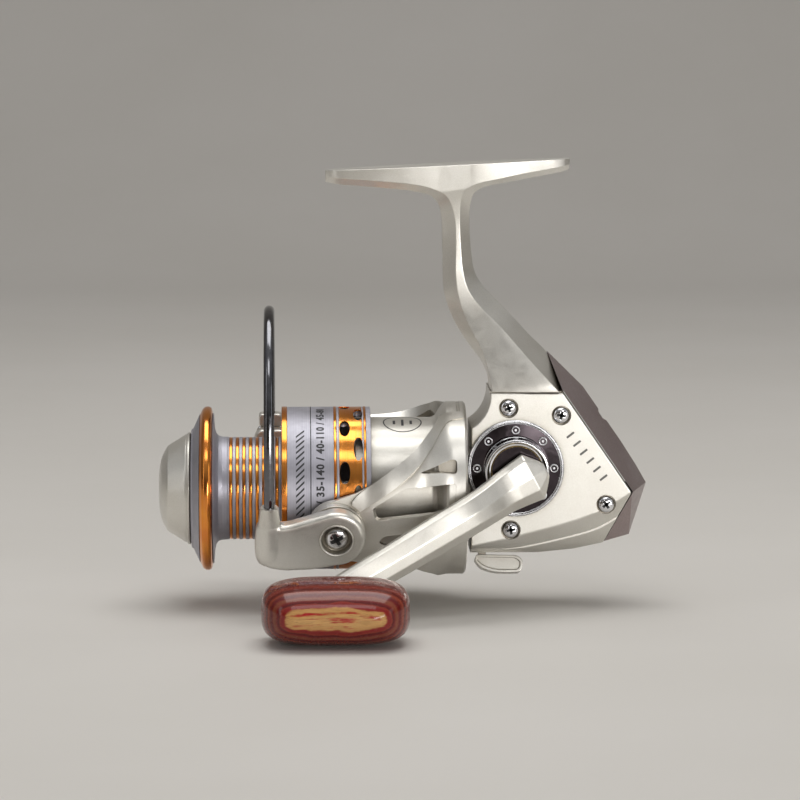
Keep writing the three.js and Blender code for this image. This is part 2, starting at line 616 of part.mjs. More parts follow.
addTo(
  reel,
  "drag_knob",
  turnedX([[-101.7, 0], [-101.5, 5], [-100.7, 9], [-99.1, 12.1], [-93.6, 15.6], [-92.7, 16.1],
    [-92.7, 12.3], [-85, 12.3], [-85, 10.4], [-96.4, 10.4], [-96.4, 4.7], [-99.8, 4.7],
    [-99.8, 0]], 30),
  "champagne",
);
addTo(reel, "drag_nut", hexNutX(-99.6, -96.6, 4.5, SHAFT_R + FIT), "brass");
const dragCoil = coilY(0, 0, 7.6, 0.6, 86.4, 95.6, 3).rotate([0, 0, 90]);
addTo(reel, "drag_spring", dragCoil, "steel");

// ---- rotor, drawn level and then turned about the shaft ----
const rotor = new THREE.Group();
const arc = (x, r, from, to, count) =>
  Array.from({ length: count }, (_, i) => {
    const a = THREE.MathUtils.degToRad(from + ((to - from) * i) / (count - 1));
    return V3(x, -r * Math.cos(a), r * Math.sin(a));
  });

// Curved plate round the shaft; stations give x, lower and upper angle, inner and outer radius.
const curvedPlate = (stations, count = 9) =>
  loft(
    stations.map(([x, low, high, r0, r1]) => [
      ...arc(x, r1, low, high, count),
      ...arc(x, r0, high, low, count),
    ]),
  );
const ARM_PLAN = [
  [-58.6, -4, 4], [-57, -11, 11], [-54, -15, 15], [-45, -16, 22], [-40, -24, 28],
  [-34, -29, 36], [-28, -34, 47], [-24, -41, 61], [-21.5, -50, 76], [-18, -56, 84],
  [-14.6, -56, 84],
];
// The arms thin towards the rear so that the handle passes them.
const taper = (x) => Math.max(0, Math.min(1, (x + 34) / 20)) * 2.6;
const armPlate = curvedPlate(
  ARM_PLAN.map(([x, low, high]) => [x, low, high, x > -22 ? 20 : ARM_INNER_R, ARM_OUTER_R - taper(x)]),
  7,
);
const RIB_PLAN = [[-46.5, 11, 20], [-40, 18, 27.5], [-34, 26, 35.5], [-28, 36, 46.5],
  [-24, 49, 60.5], [-21.5, 64, 75.5], [-18, 74, 83.5], [-14.8, 76, 83.5]];
const rib = curvedPlate(
  RIB_PLAN.map(([x, low, high]) => [x, low, high, 25.5, RIB_R - taper(x)]),
  4,
);
const pivotBoss = rodY(-30, -25.4, 8, PIVOT_X, 0, 18);
// The windows are drawn level, as they stand when the rotor is at its phase.
const levelCut = (outline, innerY) =>
  hull([...outline.map(([x, z]) => [x, -45, z]), ...outline.map(([x, z]) => [x, innerY, z])])
    .rotate([-THREE.MathUtils.radToDeg(ROTOR_PHASE), 0, 0]);
const windowCut = levelCut([[-40.3, -2.3], [-39.4, -5.3], [-22.5, -3.3], [-22.5, 3.9], [-31.7, 3.2]], -22);
const slotCut = levelCut([[-39.1, -12.5], [-37.8, -10.5], [-31, -9.6], [-29, -11.6], [-33, -14.2]], -20);
const leverRound = rodY(-40, -LEVER_INNER_Y + 0.2, 8.9, PIVOT_X, 0, 18);
const oneArm = cut(join(armPlate, rib, pivotBoss), windowCut, slotCut, leverRound);
const rotorCup = turnedX([[-46, 18.3], [-46, 19.9], [-45.6, CUP_R], [-23, CUP_R], [-21, 23.4],
  [-19.6, FLANGE_R], [-15, FLANGE_R], [-13.9, 24.1], [-13.9, 18.6], [-35.6, 18.2], [-35.6, 6.4],
  [-22.5, 6], [-22.5, 3.8], [-41.4, 3.8], [-41.4, 6.4], [-38.2, 6.4], [-38.2, 18.3]], 30);
const rotorBody = cut(
  join(rotorCup, oneArm, oneArm.rotate([180, 0, 0])),
  ...[-1, 1].flatMap((side) => [
    rodY(side * 33, side * 26.4, 5.2, PIVOT_X, 0, 18),
    rodY(side * 33, side * 24, 1.5, PIVOT_X, 0, 14),
  ]),
);
addTo(rotor, "rotor", largest(rotorBody), "champagne");
addTo(rotor, "rotor_nut", hexNutX(-45.2, -41.6, 6.6, 3.8), "steel");
const pinionTeeth = gearX(gearShape(PINION_TEETH, 3.3, 4.1, 0), -10.2, -4.4);
addTo(
  rotor,
  "pinion_gear",
  cut(join(pinionTeeth, rodX(-45, -10, 3.6, 0, 0, 24)), rodX(-60, 0, 2.3, 0, 0, 18)),
  "brass",
);
addTo(rotor, "clutch_sleeve", ringX(-22.3, -14.8, 3.7, 6), "steel");

// ---- bail: two levers, the wire between them and the line roller ----
const leverOutline = (points) => {
  const shape = new THREE.Shape();
  shape.moveTo(...points[0]);
  points.slice(1).forEach(([x, z]) => shape.lineTo(x, z));
  shape.absarc(PIVOT_X, 0, 8.2, -Math.PI * 0.5, Math.PI * 0.62, false);
  return shape;
};
const leverPlate = (points, y0, y1) =>
  solid(
    new THREE.ExtrudeGeometry(leverOutline(points), {
      depth: y1 - y0 - 1.2,
      bevelThickness: 0.6,
      bevelSize: 0.6,
      bevelOffset: -0.6,
      bevelSegments: 1,
      curveSegments: 11,
    })
      .translate(0, 0, 0.6)
      .rotateX(Math.PI / 2)
      .translate(0, y1, 0),
  );
const SOCKET_TOP = 9.8;
const socketCone = solid(
  new THREE.LatheGeometry(
    [V2(0, -3), V2(3.3, -3), V2(3.3, 3), V2(2.5, SOCKET_TOP), V2(0, SOCKET_TOP)],
    20,
  )
    .rotateX(Math.PI / 2)
    .translate(BAIL_X, -33.4, 0),
);
const nearPlate = leverPlate(
  [[-65.9, 4.2], [-73.2, 4.2], [-74, 3], [-74, -5.6], [-71.6, -8.4], [-66.5, -9]],
  -LEVER_OUTER_Y, -LEVER_INNER_Y,
);
const wireCurve = (from, to) => {
  const points = [];
  const steps = 26;
  for (let i = 0; i <= steps; i++) {
    const a = THREE.MathUtils.degToRad(from + ((to - from) * i) / steps);
    points.push(V3(BAIL_X, -BAIL_HALF_WIDTH * Math.cos(a), BAIL_HEIGHT * Math.sin(a)));
  }
  return new THREE.CatmullRomCurve3(points);
};
const bailWire = wire(wireCurve(7.5, 172), WIRE_R, 8, 24);
const wireHole = wire(wireCurve(4, 20), WIRE_R + 0.3, 10, 6);
addTo(
  rotor,
  "bail_arm_near",
  cut(
    join(nearPlate, socketCone),
    wireHole,
    rodY(-37, -33.4, 5, PIVOT_X, 0, 18),
    rodY(-37, -29, 2.1, PIVOT_X, 0, 14),
  ),
  "champagne",
);
addTo(rotor, "bail_wire", cut(bailWire, rodY(36.2, 45, 6, BAIL_X, 6, 12)), "blackChrome");

const farPlate = leverPlate([[-64, 4.6], [-73.4, 4.6], [-74.6, 2.4], [-74.6, -2.8], [-72.6, -5],
  [-62, -7.6]], LEVER_INNER_Y, LEVER_INNER_Y + 3.4);
const farBlock = box(PIVOT_X - 7, PIVOT_X + 6, LEVER_INNER_Y + 2.8, LEVER_OUTER_Y, -4.5, 4.5);
addTo(
  rotor,
  "bail_arm_far",
  cut(
    join(farPlate, rodY(LEVER_INNER_Y + 3, LEVER_OUTER_Y, 7.4, PIVOT_X, 0, 18), farBlock),
    rodY(33.4, 37, 5, PIVOT_X, 0, 18),
    rodY(29, 37, 2.1, PIVOT_X, 0, 14),
    rodY(29, 37, 1.5, ROLLER_X, 0, 14),
  ),
  "champagne",
);
for (const [name, side] of [["near", -1], ["far", 1]]) {
  addTo(
    rotor,
    `bail_screw_${name}`,
    screwY(PIVOT_X, 0, 3.5, side * 35.2, side * 33.6, 1.9, side * 26.6),
    "chrome",
  );
}
addTo(rotor, "bail_spring", coilY(PIVOT_X, 0, 3.9, 0.5, -29.6, -27, 2), "steel");
addTo(
  rotor,
  "line_roller",
  turnedY([[33.9, 1.5], [33.9, 4], [34.6, 3.2], [37.4, 3.2], [38.1, 4], [38.1, 1.5]],
    ROLLER_X, 0, 24),
  "chrome",
);
addTo(
  rotor,
  "roller_screw",
  join(rodY(30.4, 40, 1.3, ROLLER_X, 0, 14), rodY(38.4, 40.4, 3, ROLLER_X, 0, 20)),
  "chrome",
);
rotor.rotation.x = ROTOR_PHASE;
reel.add(rotor);

addTo(reel, "rear_guard_screw", tiltGuardScrew(guardScrew), "chrome");

// ---- the whole reel, with its origin on the foot ----
reel.position.set(-FOOT_CENTRE[0], 0, -FOOT_CENTRE[1]);
const part = new THREE.Group();
part.add(reel);

export default part;
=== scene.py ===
import json
import math

import bmesh
import bpy
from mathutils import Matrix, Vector


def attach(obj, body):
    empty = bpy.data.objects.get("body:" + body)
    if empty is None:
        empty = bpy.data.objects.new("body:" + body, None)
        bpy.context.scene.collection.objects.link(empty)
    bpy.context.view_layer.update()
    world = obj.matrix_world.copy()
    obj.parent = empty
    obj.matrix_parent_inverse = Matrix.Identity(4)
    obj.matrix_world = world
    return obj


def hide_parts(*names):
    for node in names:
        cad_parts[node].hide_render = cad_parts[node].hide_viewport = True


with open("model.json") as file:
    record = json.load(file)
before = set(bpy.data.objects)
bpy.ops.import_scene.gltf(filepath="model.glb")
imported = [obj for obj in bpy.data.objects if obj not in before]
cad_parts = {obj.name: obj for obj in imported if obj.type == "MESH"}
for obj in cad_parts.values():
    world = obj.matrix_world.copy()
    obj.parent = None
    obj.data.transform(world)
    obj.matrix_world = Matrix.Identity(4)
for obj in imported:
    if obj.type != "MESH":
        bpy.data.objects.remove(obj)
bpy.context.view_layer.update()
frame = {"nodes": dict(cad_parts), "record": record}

# Pieces are drawn in millimetres about the main shaft: X along the shaft with the spool towards
# -X, Z = 0 on the shaft, crank axis parallel to Y through X = 0. row() moves a point to the row frame.
SHIFT = Vector((18.95, 0, -92.95))
CRANK_Z = 7.2
HALF_BODY = 13
SKIRT_R = 23.3
SKIRT_ARC_R = 23.4
ARBOR_R = 14.7
CUP_R = 20.3
PIVOT_X = -51.1
BAIL_X = -69.9
ROLLER_X = -70.2
ROTOR_PHASE = math.radians(17)
ARM_TILT = math.radians(28.5)
KNOB_AT = (-51.86, -24.49)
KNOB_BACK_Y = -56
KNOB_DEPTH = 28


def row(p):
    return (Vector(p) + SHIFT) / 1000


# ---- places ----
def on_rotor(p, half_turn=False):
    a = ROTOR_PHASE + (math.pi if half_turn else 0)
    x, y, z = p
    return (x, y * math.cos(a) - z * math.sin(a), y * math.sin(a) + z * math.cos(a))


def on_crank(p):
    x, y, z = p
    c, s = math.cos(ARM_TILT), math.sin(ARM_TILT)
    return (x * c - z * s, y, CRANK_Z + x * s + z * c)


def spline(points, steps=4):
    """Catmull-Rom through points of any length, with steps per span."""
    out = []
    last = len(points) - 1
    for i in range(last):
        p = [points[max(i - 1, 0)], points[i], points[i + 1], points[min(i + 2, last)]]
        for k in range(steps):
            t = k / steps
            w = (
                (-t + 2 * t * t - t**3) / 2,
                (2 - 5 * t * t + 3 * t**3) / 2,
                (t + 4 * t * t - 3 * t**3) / 2,
                (t**3 - t * t) / 2,
            )
            out.append(tuple(sum(w[j] * p[j][d] for j in range(4)) for d in range(len(p[1]))))
    out.append(tuple(points[-1]))
    return out


def rounded(points, size=0.3, steps=3, closed=True):
    """An outline with its corners eased. A third number on a point is its own size."""
    out = []
    n = len(points)
    for i, p in enumerate(points):
        ease = p[2] if len(p) > 2 else size
        a = Vector(p[:2])
        if (not closed and i in (0, n - 1)) or ease <= 0:
            out.append(tuple(a))
            continue
        u = Vector(points[i - 1][:2]) - a
        v = Vector(points[(i + 1) % n][:2]) - a
        back = min(ease, u.length * 0.48, v.length * 0.48)
        start = a + u.normalized() * back
        end = a + v.normalized() * back
        for k in range(steps + 1):
            t = k / steps
            out.append(tuple(start.lerp(a, t).lerp(a.lerp(end, t), t)))
    return out


def section(start, end, inner, outer):
    """A ring's cut face, as a profile for lathe."""
    return [(start, inner), (start, outer), (end, outer), (end, inner)]


# ---- meshes ----
def add(name, data):
    made = bpy.data.objects.new(name, data)
    bpy.context.scene.collection.objects.link(made)
    return made


def build(name, verts, faces, place=None):
    mesh = bpy.data.meshes.new(name)
    points = [place(v) for v in verts] if place else verts
    mesh.from_pydata([row(v) for v in points], [], faces)
    bm = bmesh.new()
    bm.from_mesh(mesh)
    bmesh.ops.remove_doubles(bm, verts=bm.verts, dist=2e-6)
    bmesh.ops.dissolve_degenerate(bm, dist=1e-6, edges=bm.edges)
    bmesh.ops.recalc_face_normals(bm, faces=bm.faces)
    bm.to_mesh(mesh)
    bm.free()
    return add(name, mesh)


def lathe(name, profile, axis="X", at=(0, 0), segments=120, closed=True, place=None, flutes=None):
    """profile is (distance along the axis, radius). at is (y, z) for X and (x, z) for Y.
    flutes(along, radius, angle) may change the radius."""
    verts, faces = [], []
    for s in range(segments):
        a = 2 * math.pi * s / segments
        for along, r in profile:
            if flutes:
                r = flutes(along, r, a)
            u, v = at[0] + r * math.cos(a), at[1] + r * math.sin(a)
            verts.append((along, u, v) if axis == "X" else (u, along, v))
    n = len(profile)
    for s in range(segments):
        t = (s + 1) % segments
        for i in range(n if closed else n - 1):
            j = (i + 1) % n
            if profile[i][1] < 1e-6 and profile[j][1] < 1e-6:
                continue
            faces.append((s * n + i, s * n + j, t * n + j, t * n + i))
    return build(name, verts, faces, place)


def loft(name, rings, place=None):
    """A skin over rings of points, closed at both ends."""
    n = len(rings[0])
    verts = [p for ring in rings for p in ring]
    faces = []
    for k in range(len(rings) - 1):
        for i in range(n):
            j = (i + 1) % n
            faces.append((k * n + i, k * n + j, (k + 1) * n + j, (k + 1) * n + i))
    faces.append(tuple(range(n)))
    faces.append(tuple((len(rings) - 1) * n + i for i in range(n)))
    return build(name, verts, faces, place)


def prism(name, outline, y0, y1, place=None, grow=0.0):
    """An outline in X and Z carried from y0 to y1; grow widens the y0 end about its middle."""
    cx = sum(p[0] for p in outline) / len(outline)
    cz = sum(p[1] for p in outline) / len(outline)
    wide = [(cx + (p[0] - cx) * (1 + grow), y0, cz + (p[1] - cz) * (1 + grow)) for p in outline]
    return loft(name, [wide, [(p[0], y1, p[1]) for p in outline]], place)


def block(name, low, high, place=None):
    (x0, y0, z0), (x1, y1, z1) = low, high
    return prism(name, [(x0, z0), (x1, z0), (x1, z1), (x0, z1)], y0, y1, place)


def hull(name, points, place=None):
    made = build(name, points, [], place)
    bm = bmesh.new()
    for p in points:
        bm.verts.new(row(place(p) if place else p))
    bmesh.ops.convex_hull(bm, input=bm.verts)
    bmesh.ops.delete(bm, geom=[v for v in bm.verts if not v.link_faces], context="VERTS")
    bmesh.ops.dissolve_limit(bm, angle_limit=math.radians(1), verts=bm.verts, edges=bm.edges)
    bmesh.ops.recalc_face_normals(bm, faces=bm.faces)
    bm.to_mesh(made.data)
    bm.free()
    return made


def tube(name, path, radius, sides, place):
    """A round bar along a path."""
    pts = [Vector(p) for p in path]
    normal = None
    rings = []
    for i, p in enumerate(pts):
        along = (pts[min(i + 1, len(pts) - 1)] - pts[max(i - 1, 0)]).normalized()
        if normal is None:
            normal = along.orthogonal().normalized()
        normal = (normal - along * normal.dot(along)).normalized()
        other = along.cross(normal)
        rings.append([
            tuple(p + (normal * math.cos(a) + other * math.sin(a)) * radius)
            for a in (2 * math.pi * k / sides for k in range(sides))
        ])
    return loft(name, rings, place)


def apply(piece):
    bpy.context.view_layer.update()
    graph = bpy.context.evaluated_depsgraph_get()
    mesh = bpy.data.meshes.new_from_object(piece.evaluated_get(graph))
    old = piece.data
    piece.modifiers.clear()
    piece.data = mesh
    bpy.data.meshes.remove(old)
    return piece


def cut(piece, tools):
    """Cuts the tools out of a piece, and deletes them."""
    for tool in tools:
        step = piece.modifiers.new("step", "BOOLEAN")
        step.solver = "EXACT"
        step.operation = "DIFFERENCE"
        step.object = tool
        apply(piece)
        bpy.data.objects.remove(tool, do_unlink=True)
    return piece


def join(pieces, name):
    """Several meshes as one object, without merging their surfaces."""
    verts, faces = [], []
    for p in pieces:
        base = len(verts)
        verts += [tuple(v.co) for v in p.data.vertices]
        faces += [tuple(base + i for i in f.vertices) for f in p.data.polygons]
        bpy.data.objects.remove(p, do_unlink=True)
    mesh = bpy.data.meshes.new(name)
    mesh.from_pydata(verts, [], faces)
    return add(name, mesh)


def melt(pieces, name, voxel, smooth):
    """Castings that flow into each other: one skin round all the pieces, softened."""
    made = join(pieces, name)
    remesh = made.modifiers.new("remesh", "REMESH")
    remesh.mode = "VOXEL"
    remesh.voxel_size = voxel / 1000
    apply(made)
    soften = made.modifiers.new("soften", "SMOOTH")
    soften.factor = 0.5
    soften.iterations = smooth
    return apply(made)


def ease(piece, width=0.3, segments=3, angle=28):
    step = piece.modifiers.new("ease", "BEVEL")
    step.width = width / 1000
    step.segments = segments
    step.limit_method = "ANGLE"
    step.angle_limit = math.radians(angle)
    step.use_clamp_overlap = True
    step.miter_outer = "MITER_ARC"
    return apply(piece)


def shade(piece, angle=32, weighted=True):
    piece.data.shade_smooth()
    piece.data.set_sharp_from_angle(angle=math.radians(angle))
    if weighted:
        step = piece.modifiers.new("weighted", "WEIGHTED_NORMAL")
        step.keep_sharp = True
        step.weight = 60
        apply(piece)
    return piece


USED = set()


def show(piece, look, body, nodes=(), angle=32, weighted=True, slot=None):
    """Finishes a piece: its look, the body it rides on, and the CAD nodes that it stands for."""
    slot = slot or SLOT_OF[look.name]
    shade(piece, angle, weighted)
    piece.data.materials.clear()
    piece.data.materials.append(look)
    for polygon in piece.data.polygons:
        polygon.material_index = 0
    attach(piece, body)
    if nodes:
        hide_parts(*nodes)
        USED.update(nodes)
    return piece


# ---- materials ----
def fill(ramp, stops):
    while len(ramp.elements) < len(stops):
        ramp.elements.new(0.5)
    for element, (at, colour) in zip(ramp.elements, stops):
        element.position = at
        element.color = (*colour, 1)


class Look:
    """A node material built in code. Inputs are numbers, colours or other nodes' outputs."""

    def __init__(self, name):
        self.material = bpy.data.materials.new(name)
        self.material.use_nodes = True
        self.nodes = self.material.node_tree.nodes
        self.links = self.material.node_tree.links
        self.surface = self.nodes["Principled BSDF"]
        self.place = self.nodes.new("ShaderNodeTexCoord").outputs["Object"]

    def put(self, socket, value):
        if isinstance(value, bpy.types.NodeSocket):
            self.links.new(value, socket)
        elif socket.type == "RGBA" and len(value) == 3:
            socket.default_value = (*value, 1)
        else:
            socket.default_value = value

    def node(self, kind, output=0, settings=None, **inputs):
        made = self.nodes.new(kind)
        for key, value in (settings or {}).items():
            setattr(made, key, value)
        for key, value in inputs.items():
            self.put(made.inputs[key.replace("_", " ")], value)
        return made.outputs[output]

    def noise(self, scale, detail=3, rough=0.55, distort=0.0, place=None):
        return self.node(
            "ShaderNodeTexNoise", "Fac", Vector=place or self.place, Scale=scale,
            Detail=detail, Roughness=rough, Distortion=distort,
        )

    def stretch(self, x, y, z, offset=(0, 0, 0)):
        return self.node("ShaderNodeMapping", Vector=self.place, Scale=(x, y, z), Location=offset)

    def ramp(self, factor, *stops):
        made = self.nodes.new("ShaderNodeValToRGB")
        self.links.new(factor, made.inputs["Fac"])
        fill(made.color_ramp, stops)
        return made.outputs["Color"]

    def range(self, factor, low, high, start=0.0, end=1.0):
        """Maps start..end to low..high."""
        return self.node("ShaderNodeMapRange", Value=factor, From_Min=start, From_Max=end,
                         To_Min=low, To_Max=high)

    def math(self, operation, a, b):
        made = self.nodes.new("ShaderNodeMath")
        made.operation = operation
        self.put(made.inputs[0], a)
        self.put(made.inputs[1], b)
        return made.outputs[0]

    def patches(self, noise, dark, colour):
        """Two tones that follow a noise."""
        return self.mix(self.range(noise, 0, 1, 0.3, 0.7), dark, colour)

    def mix(self, factor, a, b):
        made = self.nodes.new("ShaderNodeMix")
        made.data_type = "RGBA"
        self.put(made.inputs[0], factor)
        self.put(made.inputs[6], a)
        self.put(made.inputs[7], b)
        return made.outputs[2]

    def parts(self):
        made = self.nodes.new("ShaderNodeSeparateXYZ")
        self.links.new(self.place, made.inputs[0])
        return made.outputs

    def bump(self, height, strength, distance, under=None):
        inputs = {"Normal": under} if under else {}
        return self.node("ShaderNodeBump", Height=height, Strength=strength, Distance=distance / 1000,
                         **inputs)

    def finish(self, **inputs):
        for key, value in inputs.items():
            self.put(self.surface.inputs[key.replace("_", " ")], value)
        return self.material


def paint(name, colour, light, dark, metallic, rough, flake=0.12):
    """Metallic paint on a casting: flakes, uneven coverage, handling marks, and painted shade darkening the
    corners.
    """
    k = Look(name)
    cloud = k.noise(55, 4)
    grain = k.noise(3600, 2, 0.7)
    flakes = k.node("ShaderNodeTexVoronoi", "Color", Vector=k.place, Scale=5200)
    tint = k.patches(cloud, dark, colour)
    tint = k.mix(k.math("MULTIPLY", k.range(grain, 0, 1, 0.35, 0.75), 0.3), tint, light)
    sparkle = k.math("MULTIPLY", k.node("ShaderNodeSeparateColor", 0, Color=flakes), flake)
    tint = k.mix(sparkle, tint, (1, 0.98, 0.94))
    # Painted shade: ambient occlusion darkens the base colour towards a dark brown in corners, creases and
    # recesses.
    painted_corner_shade = k.node("ShaderNodeAmbientOcclusion", "AO", {"samples": 6}, Distance=0.007)
    tint = k.mix(k.range(painted_corner_shade, 0.85, 0.0, 0.3, 0.92), tint,
                 [dark[0] * 0.5, dark[1] * 0.46, dark[2] * 0.4])
    smear = k.noise(260, 5, 0.65, 0.6)
    dust = k.noise(1500, 3)
    gloss = k.math("ADD", k.range(smear, rough - 0.05, rough + 0.09, 0.3, 0.75),
                   k.range(dust, -0.03, 0.03))
    peel = k.bump(k.noise(900, 2), 0.16, 0.05)
    fine = k.bump(grain, 0.12, 0.02, peel)
    return k.finish(Base_Color=tint, Metallic=metallic, Roughness=gloss, Normal=fine,
                    Coat_Weight=0.25, Coat_Roughness=0.22)


def plated(name, colour, rough, shade=0.85, streak=0.3, pitting=0.08):
    """Bright plating: faint polishing lines, smudges and small pits."""
    k = Look(name)
    smudge = k.noise(420, 4, 0.6, 0.8)
    tone = k.mix(k.range(smudge, 0, 1, 0.35, 0.7), [c * shade for c in colour], colour)
    gloss = k.range(smudge, rough, rough + 0.1, 0.35, 0.75)
    lines = k.noise(1, 3, 0.6, 0, k.stretch(9000, 700, 900))
    pits = k.range(k.noise(5200, 2), 0, 1, 0.62, 0.8)
    rub = k.bump(lines, streak * 0.2, 0.01)
    return k.finish(Base_Color=tone, Metallic=1.0, Roughness=gloss,
                    Normal=k.bump(pits, pitting, 0.02, rub))


def turned(name, colour, dark, rough, line=0.3, metallic=1.0):
    """Lathe-turned and anodised: rings round the X axis, and tone that varies along them."""
    k = Look(name)
    x = k.parts()[0]
    wobble = k.noise(300, 2)
    rings = k.node("ShaderNodeTexNoise", "Fac", {"noise_dimensions": "1D"},
                   W=k.math("ADD", x, k.math("MULTIPLY", wobble, 0.00001)), Scale=6500, Detail=3)
    cloud = k.noise(140, 4)
    tone = k.patches(cloud, dark, colour)
    tone = k.mix(k.math("MULTIPLY", k.range(rings, 0, 1, 0.4, 0.8), 0.18), tone, (1, 1, 1))
    gloss = k.range(k.noise(600, 4, 0.6, 0.5), rough - 0.03, rough + 0.1, 0.3, 0.75)
    return k.finish(Base_Color=tone, Metallic=metallic, Roughness=gloss,
                    Normal=k.bump(rings, line, 0.02), Anisotropic=0.35)


def lacquered_wood():
    """Veneers stacked along Y and shaped, so that each shows as an oval; clear gloss lacquer."""
    k = Look("lacquered_wood")
    x, y, z = k.parts()
    grain = k.noise(1, 5, 0.62, 0.5, k.stretch(70, 60, 900))
    warp = k.noise(130, 3, 0.5, 0.3)
    depth = k.math("MULTIPLY", k.math("ADD", y, -KNOB_BACK_Y / 1000), -1000 / KNOB_DEPTH)
    depth = k.math("ADD", depth, k.range(warp, -0.012, 0.012, 0.3, 0.7))
    depth = k.math("ADD", depth, k.range(grain, -0.006, 0.006, 0.25, 0.75))
    veneers = k.ramp(
        depth,
        (0.0, (0.05, 0.007, 0.005)), (0.2, (0.14, 0.014, 0.010)), (0.35, (0.22, 0.035, 0.02)),
        (0.45, (0.10, 0.008, 0.007)), (0.55, (0.2, 0.024, 0.015)), (0.65, (0.085, 0.007, 0.006)),
        (0.735, (0.21, 0.03, 0.017)), (0.78, (0.08, 0.007, 0.006)), (0.814, (0.24, 0.045, 0.022)),
        (0.85, (0.10, 0.008, 0.008)), (0.868, (0.13, 0.010, 0.009)), (0.885, (0.2, 0.052, 0.026)),
        (0.905, (0.19, 0.042, 0.022)), (0.917, (0.14, 0.010, 0.010)), (0.932, (0.075, 0.007, 0.007)),
        (0.94, (0.23, 0.03, 0.018)), (0.952, (0.19, 0.013, 0.011)), (0.967, (0.22, 0.016, 0.013)),
        (0.974, (0.47, 0.25, 0.085)), (1.0, (0.52, 0.30, 0.11)),
    )
    streaks = k.noise(1, 4, 0.6, 0.4, k.stretch(55, 40, 620, (0.3, 0.1, 0.2)))
    heart = k.math("MULTIPLY", k.range(depth, 0, 1, 0.984, 0.992), k.range(streaks, 0, 1, 0.53, 0.6))
    wood = k.mix(heart, veneers, (0.34, 0.02, 0.02))
    fibre = k.noise(1, 4, 0.7, 0, k.stretch(180, 2600, 5200))
    wood = k.mix(k.range(fibre, 0.0, 0.55, 0.45, 0.8), wood, (0.06, 0.008, 0.006))
    pores = k.range(k.noise(1, 2, 0.5, 0, k.stretch(500, 4200, 4200)), 0, 1, 0.62, 0.75)
    wood = k.mix(k.math("MULTIPLY", pores, 0.35), wood, (0.05, 0.01, 0.008))
    ripple = k.bump(k.noise(180, 2), 0.12, 0.08)
    gloss = k.range(k.noise(500, 4, 0.6), 0.2, 0.36, 0.35, 0.75)
    material = k.finish(Base_Color=wood, Roughness=gloss, Normal=k.bump(fibre, 0.2, 0.02, ripple),
                        Coat_Weight=0.55, Coat_Roughness=0.08,
                        Specular_IOR_Level=0.12)
    k.links.new(ripple, k.surface.inputs["Coat Normal"])
    return material


def plain(name, colour, dark, rough, metallic=0.0, scale=900, relief=0.2):
    k = Look(name)
    mottle = k.noise(scale, 4, 0.65)
    tone = k.patches(mottle, dark, colour)
    gloss = k.range(k.noise(scale * 0.4, 3), rough - 0.07, rough + 0.07, 0.3, 0.7)
    return k.finish(Base_Color=tone, Metallic=metallic, Roughness=gloss,
                    Normal=k.bump(mottle, relief, 0.04))


champagne = paint("champagne_paint", (0.70, 0.682, 0.632), (0.85, 0.84, 0.80), (0.61, 0.585, 0.525),
                  0.78, 0.34)
mauve = paint("mauve_paint", (0.31, 0.25, 0.25), (0.44, 0.38, 0.38), (0.25, 0.19, 0.185),
              0.72, 0.36, 0.06)
chrome = plated("chrome_plate", (0.82, 0.82, 0.84), 0.1, streak=0.1)
bezel_chrome = plated("bezel_chrome", (0.66, 0.66, 0.68), 0.24, streak=0.0, pitting=0.01)
black_chrome = plated("black_chrome_plate", (0.055, 0.045, 0.05), 0.08, 0.7, 0.5)
wire_chrome = plated("dark_wire_chrome", (0.2, 0.2, 0.215), 0.1, 0.75, 0.5)
steel = plated("ground_steel", (0.56, 0.57, 0.58), 0.24, 0.8, 0.9)
brass = plated("machined_brass", (0.66, 0.46, 0.18), 0.24, 0.8, 0.9)
spool_grey = turned("grey_anodised", (0.40, 0.39, 0.44), (0.33, 0.325, 0.37), 0.42, metallic=0.75)
gold = turned("gold_anodised", (0.95, 0.34, 0.02), (0.78, 0.22, 0.01), 0.15, 0.22)
wood = lacquered_wood()
plastic = plain("moulded_plastic", (0.022, 0.022, 0.025), (0.014, 0.014, 0.015), 0.5)
# Painted shade: a near-black lining for the screws' cross recesses, standing in for the shadow inside them.
recess_shade = plain("painted_recess_shade", (0.035, 0.033, 0.032), (0.02, 0.02, 0.02), 0.5, 0.5)
felt = plain("oiled_felt", (0.16, 0.11, 0.05), (0.09, 0.06, 0.03), 0.92, 0, 2600, 0.8)
ink = plain("black_ink", (0.012, 0.012, 0.014), (0.03, 0.03, 0.032), 0.45, 0, 1800, 0.1)
silver_ink = plain("grey_ink", (0.13, 0.127, 0.12), (0.10, 0.097, 0.09), 0.4, 0.4, 1800, 0.1)

# The record's slots and the looks that fill them. Inner pieces take the first.
SLOTS = {
    "champagne": [champagne], "mauve": [mauve], "chrome": [chrome, bezel_chrome],
    "black_chrome": [black_chrome, wire_chrome, recess_shade], "steel": [steel], "brass": [brass],
    "spool_grey": [spool_grey], "gold_anodised": [gold], "laminated_wood": [wood],
    "plastic": [plastic], "felt": [felt],
}
SLOT_OF = {look.name: slot for slot, looks in SLOTS.items() for look in looks}


# ---- body: foot and stem in one skin, then housing, cover and guard ----
FOOT_TILT = math.radians(2.7)
FOOT_AT = (-18.95, 92.95)
FOOT_HALF_LENGTH = 35

